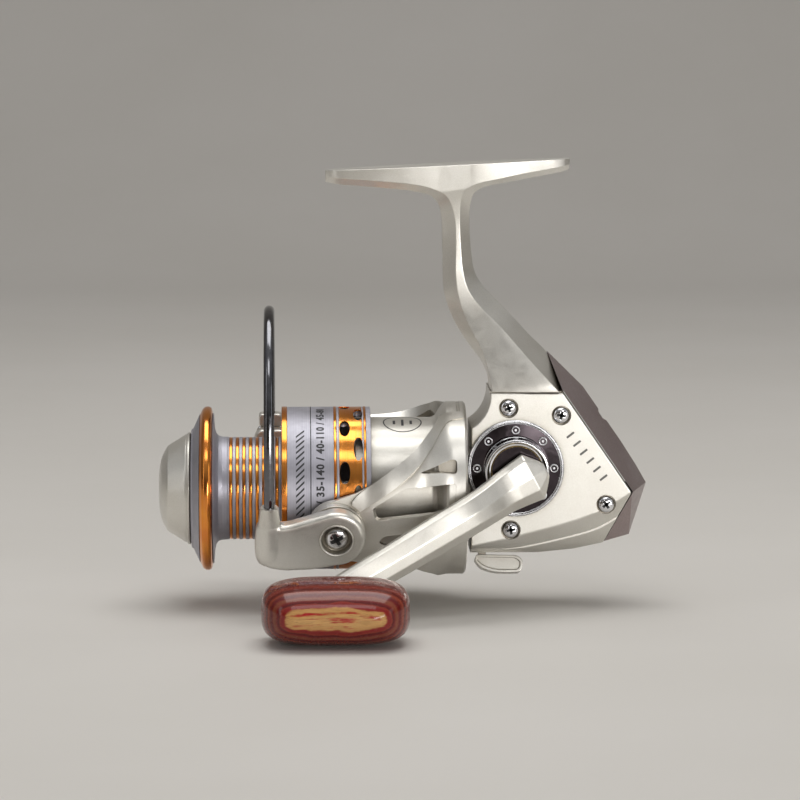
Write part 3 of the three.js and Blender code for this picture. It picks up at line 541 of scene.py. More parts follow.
# Edge of the pale side face and outer corner of the bevel, from the foot's tips down the stem.
# Each: x, z, half width.
FRONT_EDGE = [
    (-53.8, 89.5, 1.3), (-49.8, 89.2, 4.4), (-41.2, 88.7, 6.6), (-32.7, 88, 7.4), (-25.9, 87, 7.5),
    (-21.4, 85.4, 7.2), (-19.1, 83.7, 6.6), (-17.7, 80.6, 5.7), (-16.9, 76.6, 4.9), (-16.7, 70, 4.8),
    (-16.8, 63, 4.9), (-16.3, 57.3, 5.2), (-14.8, 51.6, 5.8), (-12.3, 45.9, 7.1), (-9.4, 40.3, 8.8),
    (-7.7, 34.6, 10.4), (-6.9, 30.8, 11.4), (-6.7, 28.8, 11.9),
]
FRONT_RIDGE = [
    (-53.8, 88, 0.8), (-49.8, 87.3, 2.6), (-41.2, 86.7, 4.7), (-32.7, 86, 5.6), (-27, 85.1, 5),
    (-23.6, 84, 3.8), (-21.7, 81.7, 2.4), (-20.8, 78.3, 1.6), (-20.5, 73.2, 1.4), (-20.4, 67, 1.3),
    (-20.3, 61, 1.3), (-19.9, 56.2, 1.3), (-18.5, 51.6, 1.3), (-15.7, 45.9, 1.3), (-12.3, 40.8, 1.4),
    (-9.4, 36.9, 1.6), (-7.4, 32.5, 2.2), (-6.9, 28.8, 3),
]
REAR_EDGE = [
    (15.9, 92.8, 1.3), (12.7, 92.2, 4.2), (1.4, 90.3, 6.9), (-4.3, 89.1, 7.4), (-10, 87.9, 7.5),
    (-13.1, 86.6, 7.2), (-14.8, 84.9, 6.6), (-15.5, 81.6, 5.7), (-15.6, 76.6, 4.9), (-15.3, 70, 4.8),
    (-14.7, 63, 4.9), (-13.1, 57.3, 5.3), (-9.2, 52, 6.2), (-4, 46.9, 7.9), (1.4, 40.8, 10),
    (7, 34.6, 12), (10.6, 30.8, 12.9), (12.4, 28.8, 13),
]
REAR_RIDGE = [
    (15.7, 91.5, 0.8), (12.7, 90.7, 2.5), (1.4, 88.7, 5), (-4.3, 87.7, 5.6), (-8.9, 86.6, 5),
    (-11.4, 84.9, 3.8), (-12.4, 82.3, 2.4), (-12.7, 79.3, 1.6), (-12.7, 74.5, 1.4), (-12.4, 70, 1.3),
    (-11.5, 63.3, 1.3), (-9.6, 59.2, 1.3), (-6, 55, 1.3), (-0.7, 49.7, 1.3), (4.6, 44, 1.3),
    (9.3, 39.3, 1.3), (12, 34.5, 1.3), (13.4, 28.8, 1.3),
]
SPAN = 4
FOOT_SPANS = 5
CREASE_FROM = 12


def stand():
    front, front_ridge = spline(FRONT_EDGE, SPAN), spline(FRONT_RIDGE, SPAN)
    rear, rear_ridge = spline(REAR_EDGE, SPAN), spline(REAR_RIDGE, SPAN)
    last, turn = len(front) - 1, FOOT_SPANS * SPAN
    verts, index, faces = [], {}, []

    def vert(key, x, y, z):
        index[key] = len(verts)
        verts.append((x, y, z))

    for side in (-1, 1):
        for name, line in (("fe", front), ("fr", front_ridge), ("re", rear), ("rr", rear_ridge)):
            for i, (x, z, half) in enumerate(line):
                vert((name, i, side), x, side * half, z)
        for name, line in (("ft", front), ("rt", rear)):
            for i in range(turn + 1):
                u = (line[i][0] - FOOT_AT[0]) / math.cos(FOOT_TILT)
                u = max(-FOOT_HALF_LENGTH, min(FOOT_HALF_LENGTH, u))
                half = max(8 * math.sqrt(max(0, 1 - abs(u / FOOT_HALF_LENGTH) ** 3)), 1.5)
                top = (FOOT_AT[0] + u * math.cos(FOOT_TILT), FOOT_AT[1] + u * math.sin(FOOT_TILT))
                vert((name, i, side), top[0], side * half, top[1])
        for i in range(turn, last + 1):
            t = max(0.0, (i - CREASE_FROM * SPAN) / (last - CREASE_FROM * SPAN))
            share = 0.86 - 0.3 * t
            (x0, z0, h0), (x1, z1, h1) = front[i], rear[i]
            half = h0 + (h1 - h0) * (share + (1 - share) * min(1, 4 * t))
            vert(("mid", i, side), x0 + (x1 - x0) * share, side * half, z0 + (z1 - z0) * share)

    def quad(*keys):
        faces.append(tuple(index[k] for k in keys))

    for side in (-1, 1):
        for a, b, first, end in (("ft", "fe", 0, turn), ("rt", "re", 0, turn), ("fe", "mid", turn, last),
                                 ("mid", "re", turn, last), ("fe", "fr", 0, last), ("re", "rr", 0, last)):
            for i in range(first, end):
                quad((a, i, side), (a, i + 1, side), (b, i + 1, side), (b, i, side))
        quad(*[(k, turn, side) for k in ("ft", "rt", "re", "mid", "fe")])
    for a, end in (("fr", last), ("rr", last), ("ft", turn), ("rt", turn)):
        for i in range(end):
            quad((a, i, -1), (a, i + 1, -1), (a, i + 1, 1), (a, i, 1))
    quad(("ft", turn, -1), ("rt", turn, -1), ("rt", turn, 1), ("ft", turn, 1))
    for t, e, r in (("ft", "fe", "fr"), ("rt", "re", "rr")):
        quad((t, 0, -1), (e, 0, -1), (r, 0, -1), (r, 0, 1), (e, 0, 1), (t, 0, 1))
    quad(*[(k, last, -1) for k in ("fr", "fe", "mid", "re", "rr")],
         *[(k, last, 1) for k in ("rr", "re", "mid", "fe", "fr")])
    return build("foot_and_stem", verts, faces)


FACE = [
    (-12.6, 28.9), (13.4, 28.8), (33.2, 0), (27.8, -3.2), (22.5, -6), (17, -8), (11.5, -9.6),
    (6.2, -11), (0.9, -12.3), (-5.9, -13.9), (-12.6, -15.3),
]
KEEL = [(-12.6, -17.9), (7, -17.9), (17, -16.9), (25.5, -15.1)]
SEAM_Y = -9.8
COVER_TOP = 28.45
SCREW_R = 2.35
FRONT_SCOOP = (-18.1, 28, 10.9)


def both(points, half):
    return [(x, side * half, z) for side in (-1, 1) for x, z in points]


def rod(name, y0, y1, r, x, z, segments=48, place=None):
    return lathe(name, section(y0, y1, 0, r), "Y", (x, z), segments, False, place)


def body_hull(name):
    made = hull(name, both(FACE, HALF_BODY) + both(KEEL, 7))
    x, z, r = FRONT_SCOOP
    return cut(made, [rod("tool", -20, 20, r, x, z, 96)])


COVER_SCREWS = [(-2, 24.3, 20), (13, 22.2, -12), (25.9, -3.4, 35), (-1.3, -10.6, 8)]

housing = cut(body_hull("housing_casting"), [
    block("tool", (-60, -40, -60), (60, SEAM_Y, 60)),
    block("tool", (-10.6, -4.7, -20), (-7.4, 4.7, -15)),
])
ease(housing, 0.45)
show(housing, champagne, "body", ["body_housing"])
stem = ease(stand(), 0.32, 3, 24)
show(stem, champagne, "body", angle=30)
neck = lathe("neck", rounded(section(-20, -12, 10.3, 12), 0.4), segments=96)
show(neck, champagne, "body")

cover = cut(body_hull("cover_casting"), [
    block("tool", (-60, SEAM_Y - 0.3, -60), (60, 40, 60)),
    block("tool", (-60, -40, COVER_TOP), (60, 40, 60)),
])
ease(cover, 0.5)
cut(cover, [rod("tool", -14, -10.8, 2.8, x, z, 40) for x, z, _ in COVER_SCREWS])
ease(cover, 0.12, 2, 60)
show(cover, champagne, "body", ["side_cover"])


def cross(x, z, r, turn, y0, y1, place, grow=0.0):
    """A tapered cross: y0 is the wide end."""
    parts = []
    for k in range(2):
        a = math.radians(turn + 90 * k)
        rings = []
        for y, half, reach in ((y0, 0.19 * r, 0.68 * r), (y1, 0.11 * r, 0.36 * r)):
            half, reach = half + grow, reach + grow
            corners = ((-reach, -half), (reach, -half), (reach, half), (-reach, half))
            rings.append([(x + u * math.cos(a) - v * math.sin(a), y,
                           z + u * math.sin(a) + v * math.cos(a)) for u, v in corners])
        parts.append(loft("tool", rings, place))
    a = math.radians(turn + 45)
    core = 0.26 * r + grow
    ring = [(x + core * math.cos(a + k * math.pi / 2), z + core * math.sin(a + k * math.pi / 2))
            for k in range(4)]
    parts.append(prism("tool", ring, y0, y1, place))
    return parts


def cross_head(name, x, z, r, face_y, under_y, turn, body, place=None, slot_depth=0.8):
    """A domed head with a tapered, recessed cross lined with painted shade, and a rolled rim."""
    s = 1 if under_y > face_y else -1
    dome = r * 0.2 * s
    profile = [(face_y, 0), (face_y + dome * 0.1, r * 0.35), (face_y + dome * 0.4, r * 0.68),
               (face_y + dome * 1.1, r * 0.9), (face_y + dome * 1.9, r), (under_y, r), (under_y, 0)]
    head = lathe(name, profile, "Y", (x, z), 56, False, place)
    cut(head, cross(x, z, r, turn, face_y - 0.3 * s, face_y + s * slot_depth, place))
    # A thin dark sheet laid inside the cross: painted shade, standing in for the shadow in the hollow.
    lining = cross(x, z, r, turn, face_y + s * 0.12 * r, face_y + s * (slot_depth + 0.1), place, 0.01)
    show(join(lining, name + "_recess"), recess_shade, body, angle=20)
    return ease(head, 0.05, 2, 40)


for i, (x, z, turn) in enumerate(COVER_SCREWS):
    name = f"cover_screw_{i + 1}"
    head = cross_head(name + "_head", x, z, SCREW_R, -13.45, -11, turn, "body")
    show(head, chrome, "body", [name], 40)

# Six short bars printed where the slope of the cover runs.
bars = []
for i in range(6):
    x, z = 15.6 + 1.9 * i, 16.6 - 2.45 * i
    corners = [(-1.3, -0.3), (1.3, -0.3), (1.3, 0.3), (-1.3, 0.3)]
    c, s = math.cos(math.radians(38)), math.sin(math.radians(38))
    outline = [(x + u * c - v * s, z + u * s + v * c) for u, v in corners]
    bars.append(prism("bar", rounded(outline, 0.2), -13.03, -12.9))
show(join(bars, "cover_print"), silver_ink, "body", angle=60, weighted=False, slot="champagne")

guard = hull("rear_guard_casting", [(x, side * 12.9, z) for side in (-1, 1)
                                    for x, z in ((13.6, 28.8), (33.3, 0))]
             + both([(9.6, 39.4), (12, 36.7), (20, 29.1), (30.7, 13.7), (35.3, 6.5), (38.2, 1.4),
                     (33.4, -13.6), (25.7, -15.1)], 0.9)
             + [(25.8, -5.5, -15), (25.8, 5.5, -15)])


def tilted(p):
    """The guard screw stands square to the guard's slope, on the middle plane."""
    c, s = math.cos(math.radians(-34)), math.sin(math.radians(-34))
    return (24.1 + p[0] * c + p[2] * s, p[1], 20 - p[0] * s + p[2] * c)


cut(guard, [
    hull("tool", both([(x + 0.35, z + 0.2) for x, z in FACE], HALF_BODY + 0.4)
         + both([(x + 0.35, z) for x, z in KEEL], 7.3)),
    lathe("tool", section(0.6, 6, 0, 2.3), "X", (0, 0), 40, False, tilted),
])
ease(guard, 0.3)
show(guard, mauve, "body", ["rear_guard"])
guard_screw = lathe("rear_guard_screw_head", rounded(
    [(1.4, 0), (1.38, 1.6), (1.15, 2.2), (0, 2.2), (0, 0)], 0.15, 3, False), "X", (0, 0), 40, False, tilted)
cut(guard_screw, [block("tool", (0.9, -u, -v), (3, u, v), tilted) for u, v in ((1.2, 0.3), (0.3, 1.2))])
show(guard_screw, chrome, "body", ["rear_guard_screw"])

cap = lathe("far_bearing_cap_cover", rounded(
    [(13.1, 0), (13.1, 7.4), (14.1, 7.4), (14.9, 6.6), (14.9, 4.2), (14.5, 3.8), (14.5, 0)],
    0.25, 3, False), "Y", (0, CRANK_Z), 72, False)
cut(cap, [block("tool", (-3, 14.2, CRANK_Z - 0.5), (3, 16, CRANK_Z + 0.5))])
show(cap, champagne, "body", ["far_bearing_cap"])

# ---- bezel and crank ----
BEZEL_BACK = -13.1
bezel = lathe("bezel_double_ring", rounded([
    (BEZEL_BACK, 12.7), (-13.95, 12.7), (-13.95, 13), (-14.3, 13.15), (-14.3, 13.5), (-14, 13.8),
    (BEZEL_BACK, 13.8)], 0.08, 2), "Y", (0, CRANK_Z), 240)
show(bezel, bezel_chrome, "body", ["bezel_ring"], 60, False)
disc = lathe("bezel_glossy_disc", rounded([
    (BEZEL_BACK, 4.2), (-13.85, 4.2), (-13.85, 9.2), (-13.75, 9.4), (-13.6, 12.75),
    (BEZEL_BACK, 12.75)],
    0.1, 2), "Y", (0, CRANK_Z), 160)
show(disc, black_chrome, "body", ["bezel_disc"])
BEAD_CIRCLE_R = 10.95
beads = []
for i in range(6):
    a = math.radians(45 * (i - 1))
    at = (BEAD_CIRCLE_R * math.cos(a), CRANK_Z + BEAD_CIRCLE_R * math.sin(a))
    beads.append(lathe("bead", rounded([(-13.5, 0.8), (-14.15, 0.86), (-14.15, 1.18), (-13.5, 1.3)],
                                       0.12, 3), "Y", at, 36))
    beads.append(rod("bead", -14.0, -13.5, 0.34, at[0], at[1], 16))
show(join(beads, "bezel_beads"), bezel_chrome, "body")

HUB_FLUTES = 36


def knurl(y, r, a):
    inside = -20.9 < y < -16.6 and r > 8.5
    return r - (0.05 * (0.5 - 0.5 * math.cos(HUB_FLUTES * a)) if inside else 0)


hub = lathe("handle_hub_turned", rounded([
    (-14.5, 3.1), (-14.5, 9), (-14.9, 9.25), (-15.7, 9.25), (-15.9, 8.9), (-16.1, 8.9), (-16.3, 9.2),
    (-16.9, 9.1), (-18, 9.05), (-19.5, 9), (-20.6, 8.95), (-21, 9.1), (-21.5, 9), (-21.65, 8.5),
    (-21.4, 8.1), (-20.9, 7.9), (-20.9, 7.4), (-20.4, 7), (-20.4, 3.1)], 0.12, 3),
    "Y", (0, 0), 360, True, on_crank, knurl)
show(hub, chrome, "crank", ["handle_hub"], 45)
dish = lathe("handle_hub_dish", section(-20.45, -20.35, 3.15, 6.95), "Y", (0, 0), 96, True, on_crank)
show(dish, black_chrome, "crank")

# Arm stations: distance along the arm, half width, back face, thickness.
ARM = [
    (7.6, 1.9, -22.4, 2.8), (6.4, 3.6, -22.3, 3.6), (3.4, 7.1, -22.1, 5.2), (-1.5, 6.5, -22.3, 5.5),
    (-5.5, 5.95, -23.6, 5.6), (-9.5, 5.6, -26.6, 5.6), (-14, 5.4, -29.6, 5.6), (-19, 5.35, -31.5, 5.6),
    (-26, 5.3, -33.2, 5.5), (-42, 5, -38.4, 5.4), (-54, 4.85, -41.8, 5.2), (-60, 4.7, -43.4, 5),
    (-63.5, 4.2, -44, 4.8), (-65.4, 2.6, -44.3, 3.4),
]
ARM_DROP = -3.1
CRANK_RADIUS = 60.7


def arm_ring(station):
    u, half, back, thick = station
    near = back - thick
    corners = ((1, back), (1, back - thick * 0.55), (0.8, near + thick * 0.1), (0.05, near),
               (-0.55, near + thick * 0.1), (-1, back - thick * 0.3), (-1, back))
    return [(u, y, ARM_DROP + half * share) for share, y in corners]


arm_stations = ARM[:4] + spline(ARM[3:12], 3)[1:] + ARM[12:]
arm = loft("handle_arm_casting", [arm_ring(s) for s in arm_stations], on_crank)
ease(arm, 0.3, 3, 12)
show(arm, champagne, "crank", ["handle_arm"], 30)
boss = lathe("handle_arm_boss", rounded([
    (-44, 2.4), (-44, 4.4), (-49.3, 4.4), (-50.1, 4), (-50.1, 3.1), (-49.7, 2.9), (-49.7, 2.4)],
    0.25, 3), "Y", (-CRANK_RADIUS, ARM_DROP), 72, True, on_crank)
show(boss, champagne, "crank")
pin = lathe("knob_shaft_turned", rounded([
    (-42.1, 0), (-42.1, 1.9), (-42.6, 2.3), (-50.6, 2.3), (-50.6, 2.1), (-51.4, 2.1), (-51.4, 2.3),
    (-78.6, 2.3), (-79, 1.9), (-79, 0)], 0.15, 2, False),
    "Y", (-CRANK_RADIUS, ARM_DROP), 48, False, on_crank)
show(pin, steel, "crank", ["knob_shaft"])

# Knob sections: share of its depth, scale of the outline. The near half is a dome.
KNOB_BACK = [
    (0, 0.66), (0.012, 0.72), (0.035, 0.785), (0.075, 0.85), (0.13, 0.91), (0.185, 0.948),
    (0.2, 0.95), (0.215, 0.965), (0.28, 0.99), (0.36, 1), (0.45, 1),
]
DOME = (0.12, 0.26, 0.4, 0.52, 0.63, 0.72, 0.79, 0.85, 0.895, 0.93, 0.957, 0.976, 0.988, 0.996, 0.9995)
KNOB = KNOB_BACK + [(0.5 + 0.5 * t, math.sqrt(1 - t**2.2)) for t in DOME]


def knob_ring(share, scale, count=120):
    power = 2 / 3.4
    ring = []
    for i in range(count):
        a = 2 * math.pi * i / count
        c, s = math.cos(a), math.sin(a)
        half = 8.75 if s > 0 else 8.9
        x = math.copysign(abs(c) ** power, c) * 20.2 * (1 - (1 - scale) * 0.52)
        z = math.copysign(abs(s) ** power, s) * half * scale
        ring.append((KNOB_AT[0] + x, KNOB_BACK_Y - KNOB_DEPTH * share, KNOB_AT[1] + z))
    return ring


knob = loft("handle_knob_turned", [knob_ring(*s) for s in KNOB])
show(knob, wood, "knob", ["handle_knob"], 70, False)
ferrule = lathe("knob_bush_moulded", rounded([(-56.02, 2.4), (-56.02, 4.9), (-58.9, 5.1), (-58.9, 2.4)],
                                             0.2), "Y", KNOB_AT, 64)
show(ferrule, plastic, "knob", ["knob_bush"])


# ---- anti-reverse lever under the body ----
def on_lever(p):
    a = math.radians(-14)
    x, y, z = p
    return (x, y * math.cos(a) - z * math.sin(a), -13.7 + y * math.sin(a) + z * math.cos(a))


def paddle_outline(inset):
    pts = [(-10.6 + inset, -6 - inset, 0.5), (1.2 - inset, -6.3 - inset, 1.2),
           (2.8 - inset, -8 - inset * 0.3, 1.6), (2.2 - inset, -11.2 + inset, 1.6),
           (-5.4, -11.2 + inset, 4), (-9.6 + inset, -9.9 + inset, 2.4), (-11.3 + inset, -7.6, 1.4)]
    return rounded(pts, 1, 6)


paddle = prism("anti_reverse_paddle", paddle_outline(0), -2.8, 2.8, on_lever)
cut(paddle, [prism("tool", paddle_outline(0.75), -4, -2.45, on_lever)])
ease(paddle, 0.22, 3, 40)
show(paddle, champagne, "anti_reverse", ["anti_reverse_lever"])
lever_neck = ease(block("anti_reverse_neck", (-10.1, -1.5, -6.6), (-7.9, 1.5, 0), on_lever), 0.2)
show(lever_neck, champagne, "anti_reverse")

# ---- spool ----
GROOVES = 8
GROOVE_START = -81.45
GROOVE_PITCH = 1.88
GROOVE_WIDTH = 1.0

front = lathe("spool_front_cone", rounded([
    (-92.3, 13.4), (-92.3, 16.9), (-91.7, 17.3), (-89.9, 21.3), (-89.9, 20.4), (-86.1, 20.4),
    (-86.1, 21.7), (-85.9, 21.5), (-85.75, 19.5), (-85.6, 17.4), (-85.2, 15.9), (-84.5, 15.1),
    (-83.4, 14.8), (-81.9, 14.75), (-81.9, 13.4)], 0.16, 3), segments=192)
show(front, spool_grey, "spool", ["spool_front_flange"], 40)
arbor = [(-81.9, 13), (-81.9, ARBOR_R)]
for k in range(GROOVES):
    x = GROOVE_START + GROOVE_PITCH * k
    arbor += [(x, ARBOR_R), (x + 0.06, 14.4), (x + GROOVE_WIDTH - 0.06, 14.4), (x + GROOVE_WIDTH, ARBOR_R)]
arbor += [(-66.6, ARBOR_R), (-66.6, 13)]
show(lathe("spool_arbor_turned", rounded(arbor, 0.1, 2), segments=192),
     spool_grey, "spool", ["spool"], 50)
bands = []
for k in range(GROOVES):
    x = GROOVE_START + GROOVE_PITCH * k
    bands.append(lathe("band", rounded(section(x + 0.08, x + GROOVE_WIDTH - 0.08, 14.2, 14.6), 0.14, 3),
                       segments=192))
show(join(bands, "spool_arbor_bands"), gold, "spool", angle=50)

lip = lathe("spool_lip_turned", rounded([
    (-89.8, 20.6), (-89.8, 21.2), (-89, 22.9, 0.5), (-88.3, 23.4), (-87.3, 23.5), (-86.6, 23.1),
    (-86.3, 22.2), (-86.2, 20.6)], 0.22, 4), segments=240)
show(lip, gold, "spool", ["spool_lip_ring"], 60)

HOLE_ROWS = ((-48.6, 1.5, 3.2, 0.0), (-44.75, 1.32, 3.75, 0.5))
HOLE_COUNT = 10


def hole_tools():
    tools = []
    for k in range(HOLE_COUNT):
        for x, half_x, half_arc, shift in HOLE_ROWS:
            turn = 2 * math.pi * (k + shift) / HOLE_COUNT
            outline = []
            for i in range(28):
                a = 2 * math.pi * i / 28
                across = math.copysign(abs(math.cos(a)) ** 0.9, math.cos(a)) * half_x
                outline.append((x + across, math.sin(a) * half_arc))
            rings = [[(u, r * math.sin(turn) + v * math.cos(turn), r * math.cos(turn) - v * math.sin(turn))
                      for u, v in outline] for r in (20.9, 25)]
            tools.append(loft("tool", rings))
    return join(tools, "tool")


skirt = lathe("spool_skirt_turned", rounded([
    (-66.5, 13), (-66.5, 22.6), (-66.2, 22.9), (-64.9, 22.9), (-64.9, 23.3), (-51.7, 23.3),
    (-51.7, 23), (-50.9, 23), (-50.9, 23.3), (-50.2, 23.3), (-50.2, 22.7), (-43.7, 22.7),
    (-43.7, 23.3), (-43.2, 23.3), (-43.2, 23), (-42.5, 23), (-42.5, 23.3), (-41.2, 23.3),
    (-41.1, 22.9), (-41.1, 22), (-64.2, 22), (-64.2, 13)], 0.07, 2), segments=192)
cut(skirt, [hole_tools()])
show(skirt, spool_grey, "spool", ["spool_skirt"], 40)
band = lathe("spool_holed_band", rounded(section(-50.18, -43.72, 22.7, 23.3), 0.08, 2), segments=192)
cut(band, [hole_tools()])
ease(band, 0.14, 2, 40)
show(band, gold, "spool", (), 40)
rings = [lathe("ring", rounded(section(x0, x1, 22.8, 23.38), 0.15, 3), segments=192)
         for x0, x1 in ((-66.45, -64.92), (-51.68, -50.92), (-43.18, -42.52))]
show(join(rings, "spool_skirt_rings"), gold, "spool", angle=50)


# Printed marks: a fine line, slanted hatching and a capacity scale, wrapped round the skirt.
def on_skirt(x, arc, lift):
    a = arc / SKIRT_ARC_R
    return (x, -(SKIRT_R + lift) * math.cos(a), (SKIRT_R + lift) * math.sin(a))


marks = [lathe("line", section(-58.35, -58.07, 23.28, 23.33), segments=192)]
INK_LIFT = 0.035
HATCH_PITCH = 1.8
HATCH_X = -62.4
HATCH_LENGTH = 2.35
HATCH_LEAN = 2.3
HATCH_WIDTH = 0.66
for k in range(-22, 12):
    rings = []
    for step in range(7):
        x = HATCH_X + HATCH_LENGTH * step / 6
        arc = k * HATCH_PITCH - 1.5 + HATCH_LEAN * step / 6
        rings.append([on_skirt(x, arc, -0.05), on_skirt(x, arc, INK_LIFT),
                      on_skirt(x, arc + HATCH_WIDTH, INK_LIFT), on_skirt(x, arc + HATCH_WIDTH, -0.05)])
    marks.append(loft("hatch", rings))
show(join(marks, "skirt_line_and_hatching"), ink, "spool", angle=40, slot="spool_grey")


def wrapped_text(name, words, height, x_base, arc_start):
    curve = bpy.data.curves.new(name + "_curve", "FONT")
    curve.body = words
    curve.size = height * 1.4
    curve.space_character = 1.12
    curve.offset = 0.11
    curve.resolution_u = 3
    source = add(name + "_curve", curve)
    bpy.context.view_layer.update()
    flat = bpy.data.meshes.new_from_object(source.evaluated_get(bpy.context.evaluated_depsgraph_get()))
    verts = [on_skirt(x_base - v.co.y, arc_start + v.co.x, INK_LIFT) for v in flat.vertices]
    faces = [tuple(f.vertices) for f in flat.polygons]
    bpy.data.objects.remove(source, do_unlink=True)
    made = build(name, verts, faces)
    show(made, ink, "spool", angle=60, weighted=False, slot="spool_grey")


wrapped_text("skirt_capacity_scale", "30-190 / 35-140 / 40-110 / 45-80", 2.15, -54.5, -12.2)

# ---- drag knob ----
drag = lathe("drag_knob_turned", rounded([
    (-101.7, 0, 0), (-101.6, 5, 1.6), (-100.9, 9, 1.5), (-99.2, 12.2, 0.6), (-94, 15.45, 0.2),
    (-93.5, 15.6, 0.1), (-93.4, 15.95, 0.1), (-92.8, 16.1, 0.1), (-92.5, 15.8), (-92.5, 12.3),
    (-85, 12.3), (-85, 10.4), (-96.4, 10.4), (-96.4, 0)], 0.2, 5, False), closed=False, segments=180)
show(drag, champagne, "drag", ["drag_knob"], 35)

# ---- rotor ----
cup = lathe("rotor_cup", rounded([
    (-46, 18.3), (-46, 19.9), (-45.6, CUP_R), (-23.4, CUP_R, 0.6), (-22.4, 21), (-21, 23.3, 0.5),
    (-19.6, 24.8, 0.5), (-16.6, 24.8, 0.2), (-16.4, 24.45, 0.1), (-15.9, 24.45, 0.1),
    (-15.7, 24.8, 0.2), (-14.6, 24.8), (-13.9, 24.2), (-13.9, 18.6), (-35.6, 18.2), (-35.6, 6.4),
    (-22.5, 6), (-22.5, 3.8), (-41.4, 3.8), (-41.4, 6.4), (-38.2, 6.4), (-38.2, 18.3)], 0.25, 4),
    segments=192)

# Arm and rib stations: x, lowest and highest angle above the arm's middle.
ARM_PLAN = [
    (-58.6, -4, 4), (-57, -11, 11), (-54, -17, 15), (-49, -20.5, 19), (-45, -22, 22), (-40, -23, 28),
    (-34, -24.5, 36), (-28, -29, 47), (-24, -38, 60), (-21.5, -49, 73), (-18, -56, 83), (-14.6, -57, 84),
]
RIB_PLAN = [
    (-46.8, 10, 17), (-44.5, 11.5, 21.5), (-40, 17, 27.5), (-34, 25, 36), (-28, 35.5, 46.5),
    (-24, 48, 60), (-21.5, 61, 74), (-18.8, 73, 82.5), (-14.8, 76, 84),
]


def taper(x):
    """How far the arms and ribs have sunk towards the flange, from 0 to 1."""
    t = max(0.0, min(1.0, (x + 28) / 10))
    return t * t * (3 - 2 * t)


def rib_top(x):
    """The ribs stay clear of the bail levers, which swing over their front ends."""
    return 31 - 5.8 * taper(x) - 0.8 * max(0.0, min(1.0, (-38 - x) / 4))


def curved(stations, inner, outer, count, name, half_turn):
    rings = []
    for x, low, high in stations:
        r0, r1 = inner(x), outer(x)
        angles = [math.radians(low + (high - low) * i / (count - 1)) for i in range(count)]
        rings.append([(x, -r1 * math.cos(a), r1 * math.sin(a)) for a in angles]
                     + [(x, -r0 * math.cos(a), r0 * math.sin(a)) for a in reversed(angles)])
    return loft(name, rings, lambda p: on_rotor(p, half_turn))


def across(p, half_turn):
    """Window outlines are level when the near arm is at rest; the far arm's are half a turn on."""
    return (p[0], -p[1], -p[2]) if half_turn else p


# Three openings in each arm: a long window, a shallow pocket that also cuts the cup, and a slit.
WINDOW = [(-40.4, -2.2), (-39.5, -5.4), (-17.6, -3), (-17.2, 4.3), (-31.7, 3.3)]
POCKET = [(-27, 7.9), (-18.4, 11), (-17, 10.6), (-17, 6.9)]
SLIT = [(-39.2, -12.4), (-37.8, -10.4), (-31, -9.6), (-28.5, -11.4), (-33, -14.2)]

for side, half_turn in (("near", False), ("far", True)):
    place = lambda p, half_turn=half_turn: on_rotor(p, half_turn)
    level = lambda p, half_turn=half_turn: across(p, half_turn)
    plate = curved(spline(ARM_PLAN, 4), lambda x: 25.2 - 5 * max(0, min(1, (x + 23.5) / 2.5)),
                   lambda x: 28.9 - 3.9 * taper(x), 20, f"rotor_arm_{side}", half_turn)
    tools = []
    for outline, widen in ((WINDOW, 0.12), (POCKET, 0.35), (SLIT, 0.25)):
        tools.append(prism("tool", rounded(outline, 1.1, 5), -31.5, -25.6, level, widen))
        tools.append(prism("tool", rounded(outline, 1.1, 5), -26, -20.9, level))
    tools.append(rod("tool", -40, -30, 9, PIVOT_X, 0, 96, place))
    cut(cup, [prism("tool", rounded(POCKET, 0.8, 4), -31.5, -19.4, level)])
    cut(plate, tools)
    ease(plate, 0.28, 3, 30)
    show(plate, champagne, "rotor", angle=35)
    ridge = curved(spline(RIB_PLAN, 4), lambda x: 25.5 - 3 * taper(x), rib_top, 7,
                   f"rotor_rib_{side}", half_turn)
    cut(ridge, [rod("tool", -40, -24, 8.9, PIVOT_X, 0, 96, place)])
    ease(ridge, 0.25, 3, 30)
    show(ridge, champagne, "rotor", angle=35)
    pivot = lathe(f"rotor_pivot_boss_{side}", rounded(section(-29.9, -25.4, 1.5, 8), 0.3),
                  "Y", (PIVOT_X, 0), 96, True, place)
    show(pivot, champagne, "rotor")

ease(cup, 0.12, 2, 60)
show(cup, champagne, "rotor", ["rotor"])

# A generic balance mark printed on the cup: a ring with three bars.
EMBLEM_X = -32
EMBLEM_ANGLE = math.radians(74)


def on_cup(u, v, lift):
    a = EMBLEM_ANGLE + v / CUP_R
    r = CUP_R + lift
    return (EMBLEM_X + u, -r * math.cos(a), r * math.sin(a))


def emblem():
    count = 72
    verts, faces = [], []
    for i in range(count):
        a = 2 * math.pi * i / count
        for r in (5.55, 5.2):
            verts.append(on_cup(r * math.cos(a), r * math.sin(a), 0.03))
    for i in range(count):
        j = (i + 1) % count
        faces.append((2 * i, 2 * j, 2 * j + 1, 2 * i + 1))
    shapes = [build("emblem_ring", verts, faces)]
    for u in (-2.4, 0, 2.4):
        half = 2.2 if u == 0 else 1.3
        verts = [on_cup(u + du, half * t, 0.03) for t in (-1, -0.5, 0, 0.5, 1) for du in (-0.35, 0.35)]
        faces = [(2 * i, 2 * i + 1, 2 * i + 3, 2 * i + 2) for i in range(4)]
        shapes.append(build("emblem_bar", verts, faces))
    return join(shapes, "cup_balance_mark")


show(emblem(), ink, "rotor", angle=60, weighted=False, slot="champagne")

# ---- bail ----
LEVER_Y = (-36, -30.2)


def ellipse_ring(x, y, z, rx, ry, count=40):
    return [(x + rx * math.cos(2 * math.pi * i / count), y + ry * math.sin(2 * math.pi * i / count), z)
            for i in range(count)]


def lever_outline(points, r, start, end):
    out = list(points)
    for i in range(33):
        a = math.radians(start + (end - start) * i / 32)
        out.append((PIVOT_X + r * math.cos(a), r * math.sin(a), 0))
    return rounded(out, 1.6, 5)


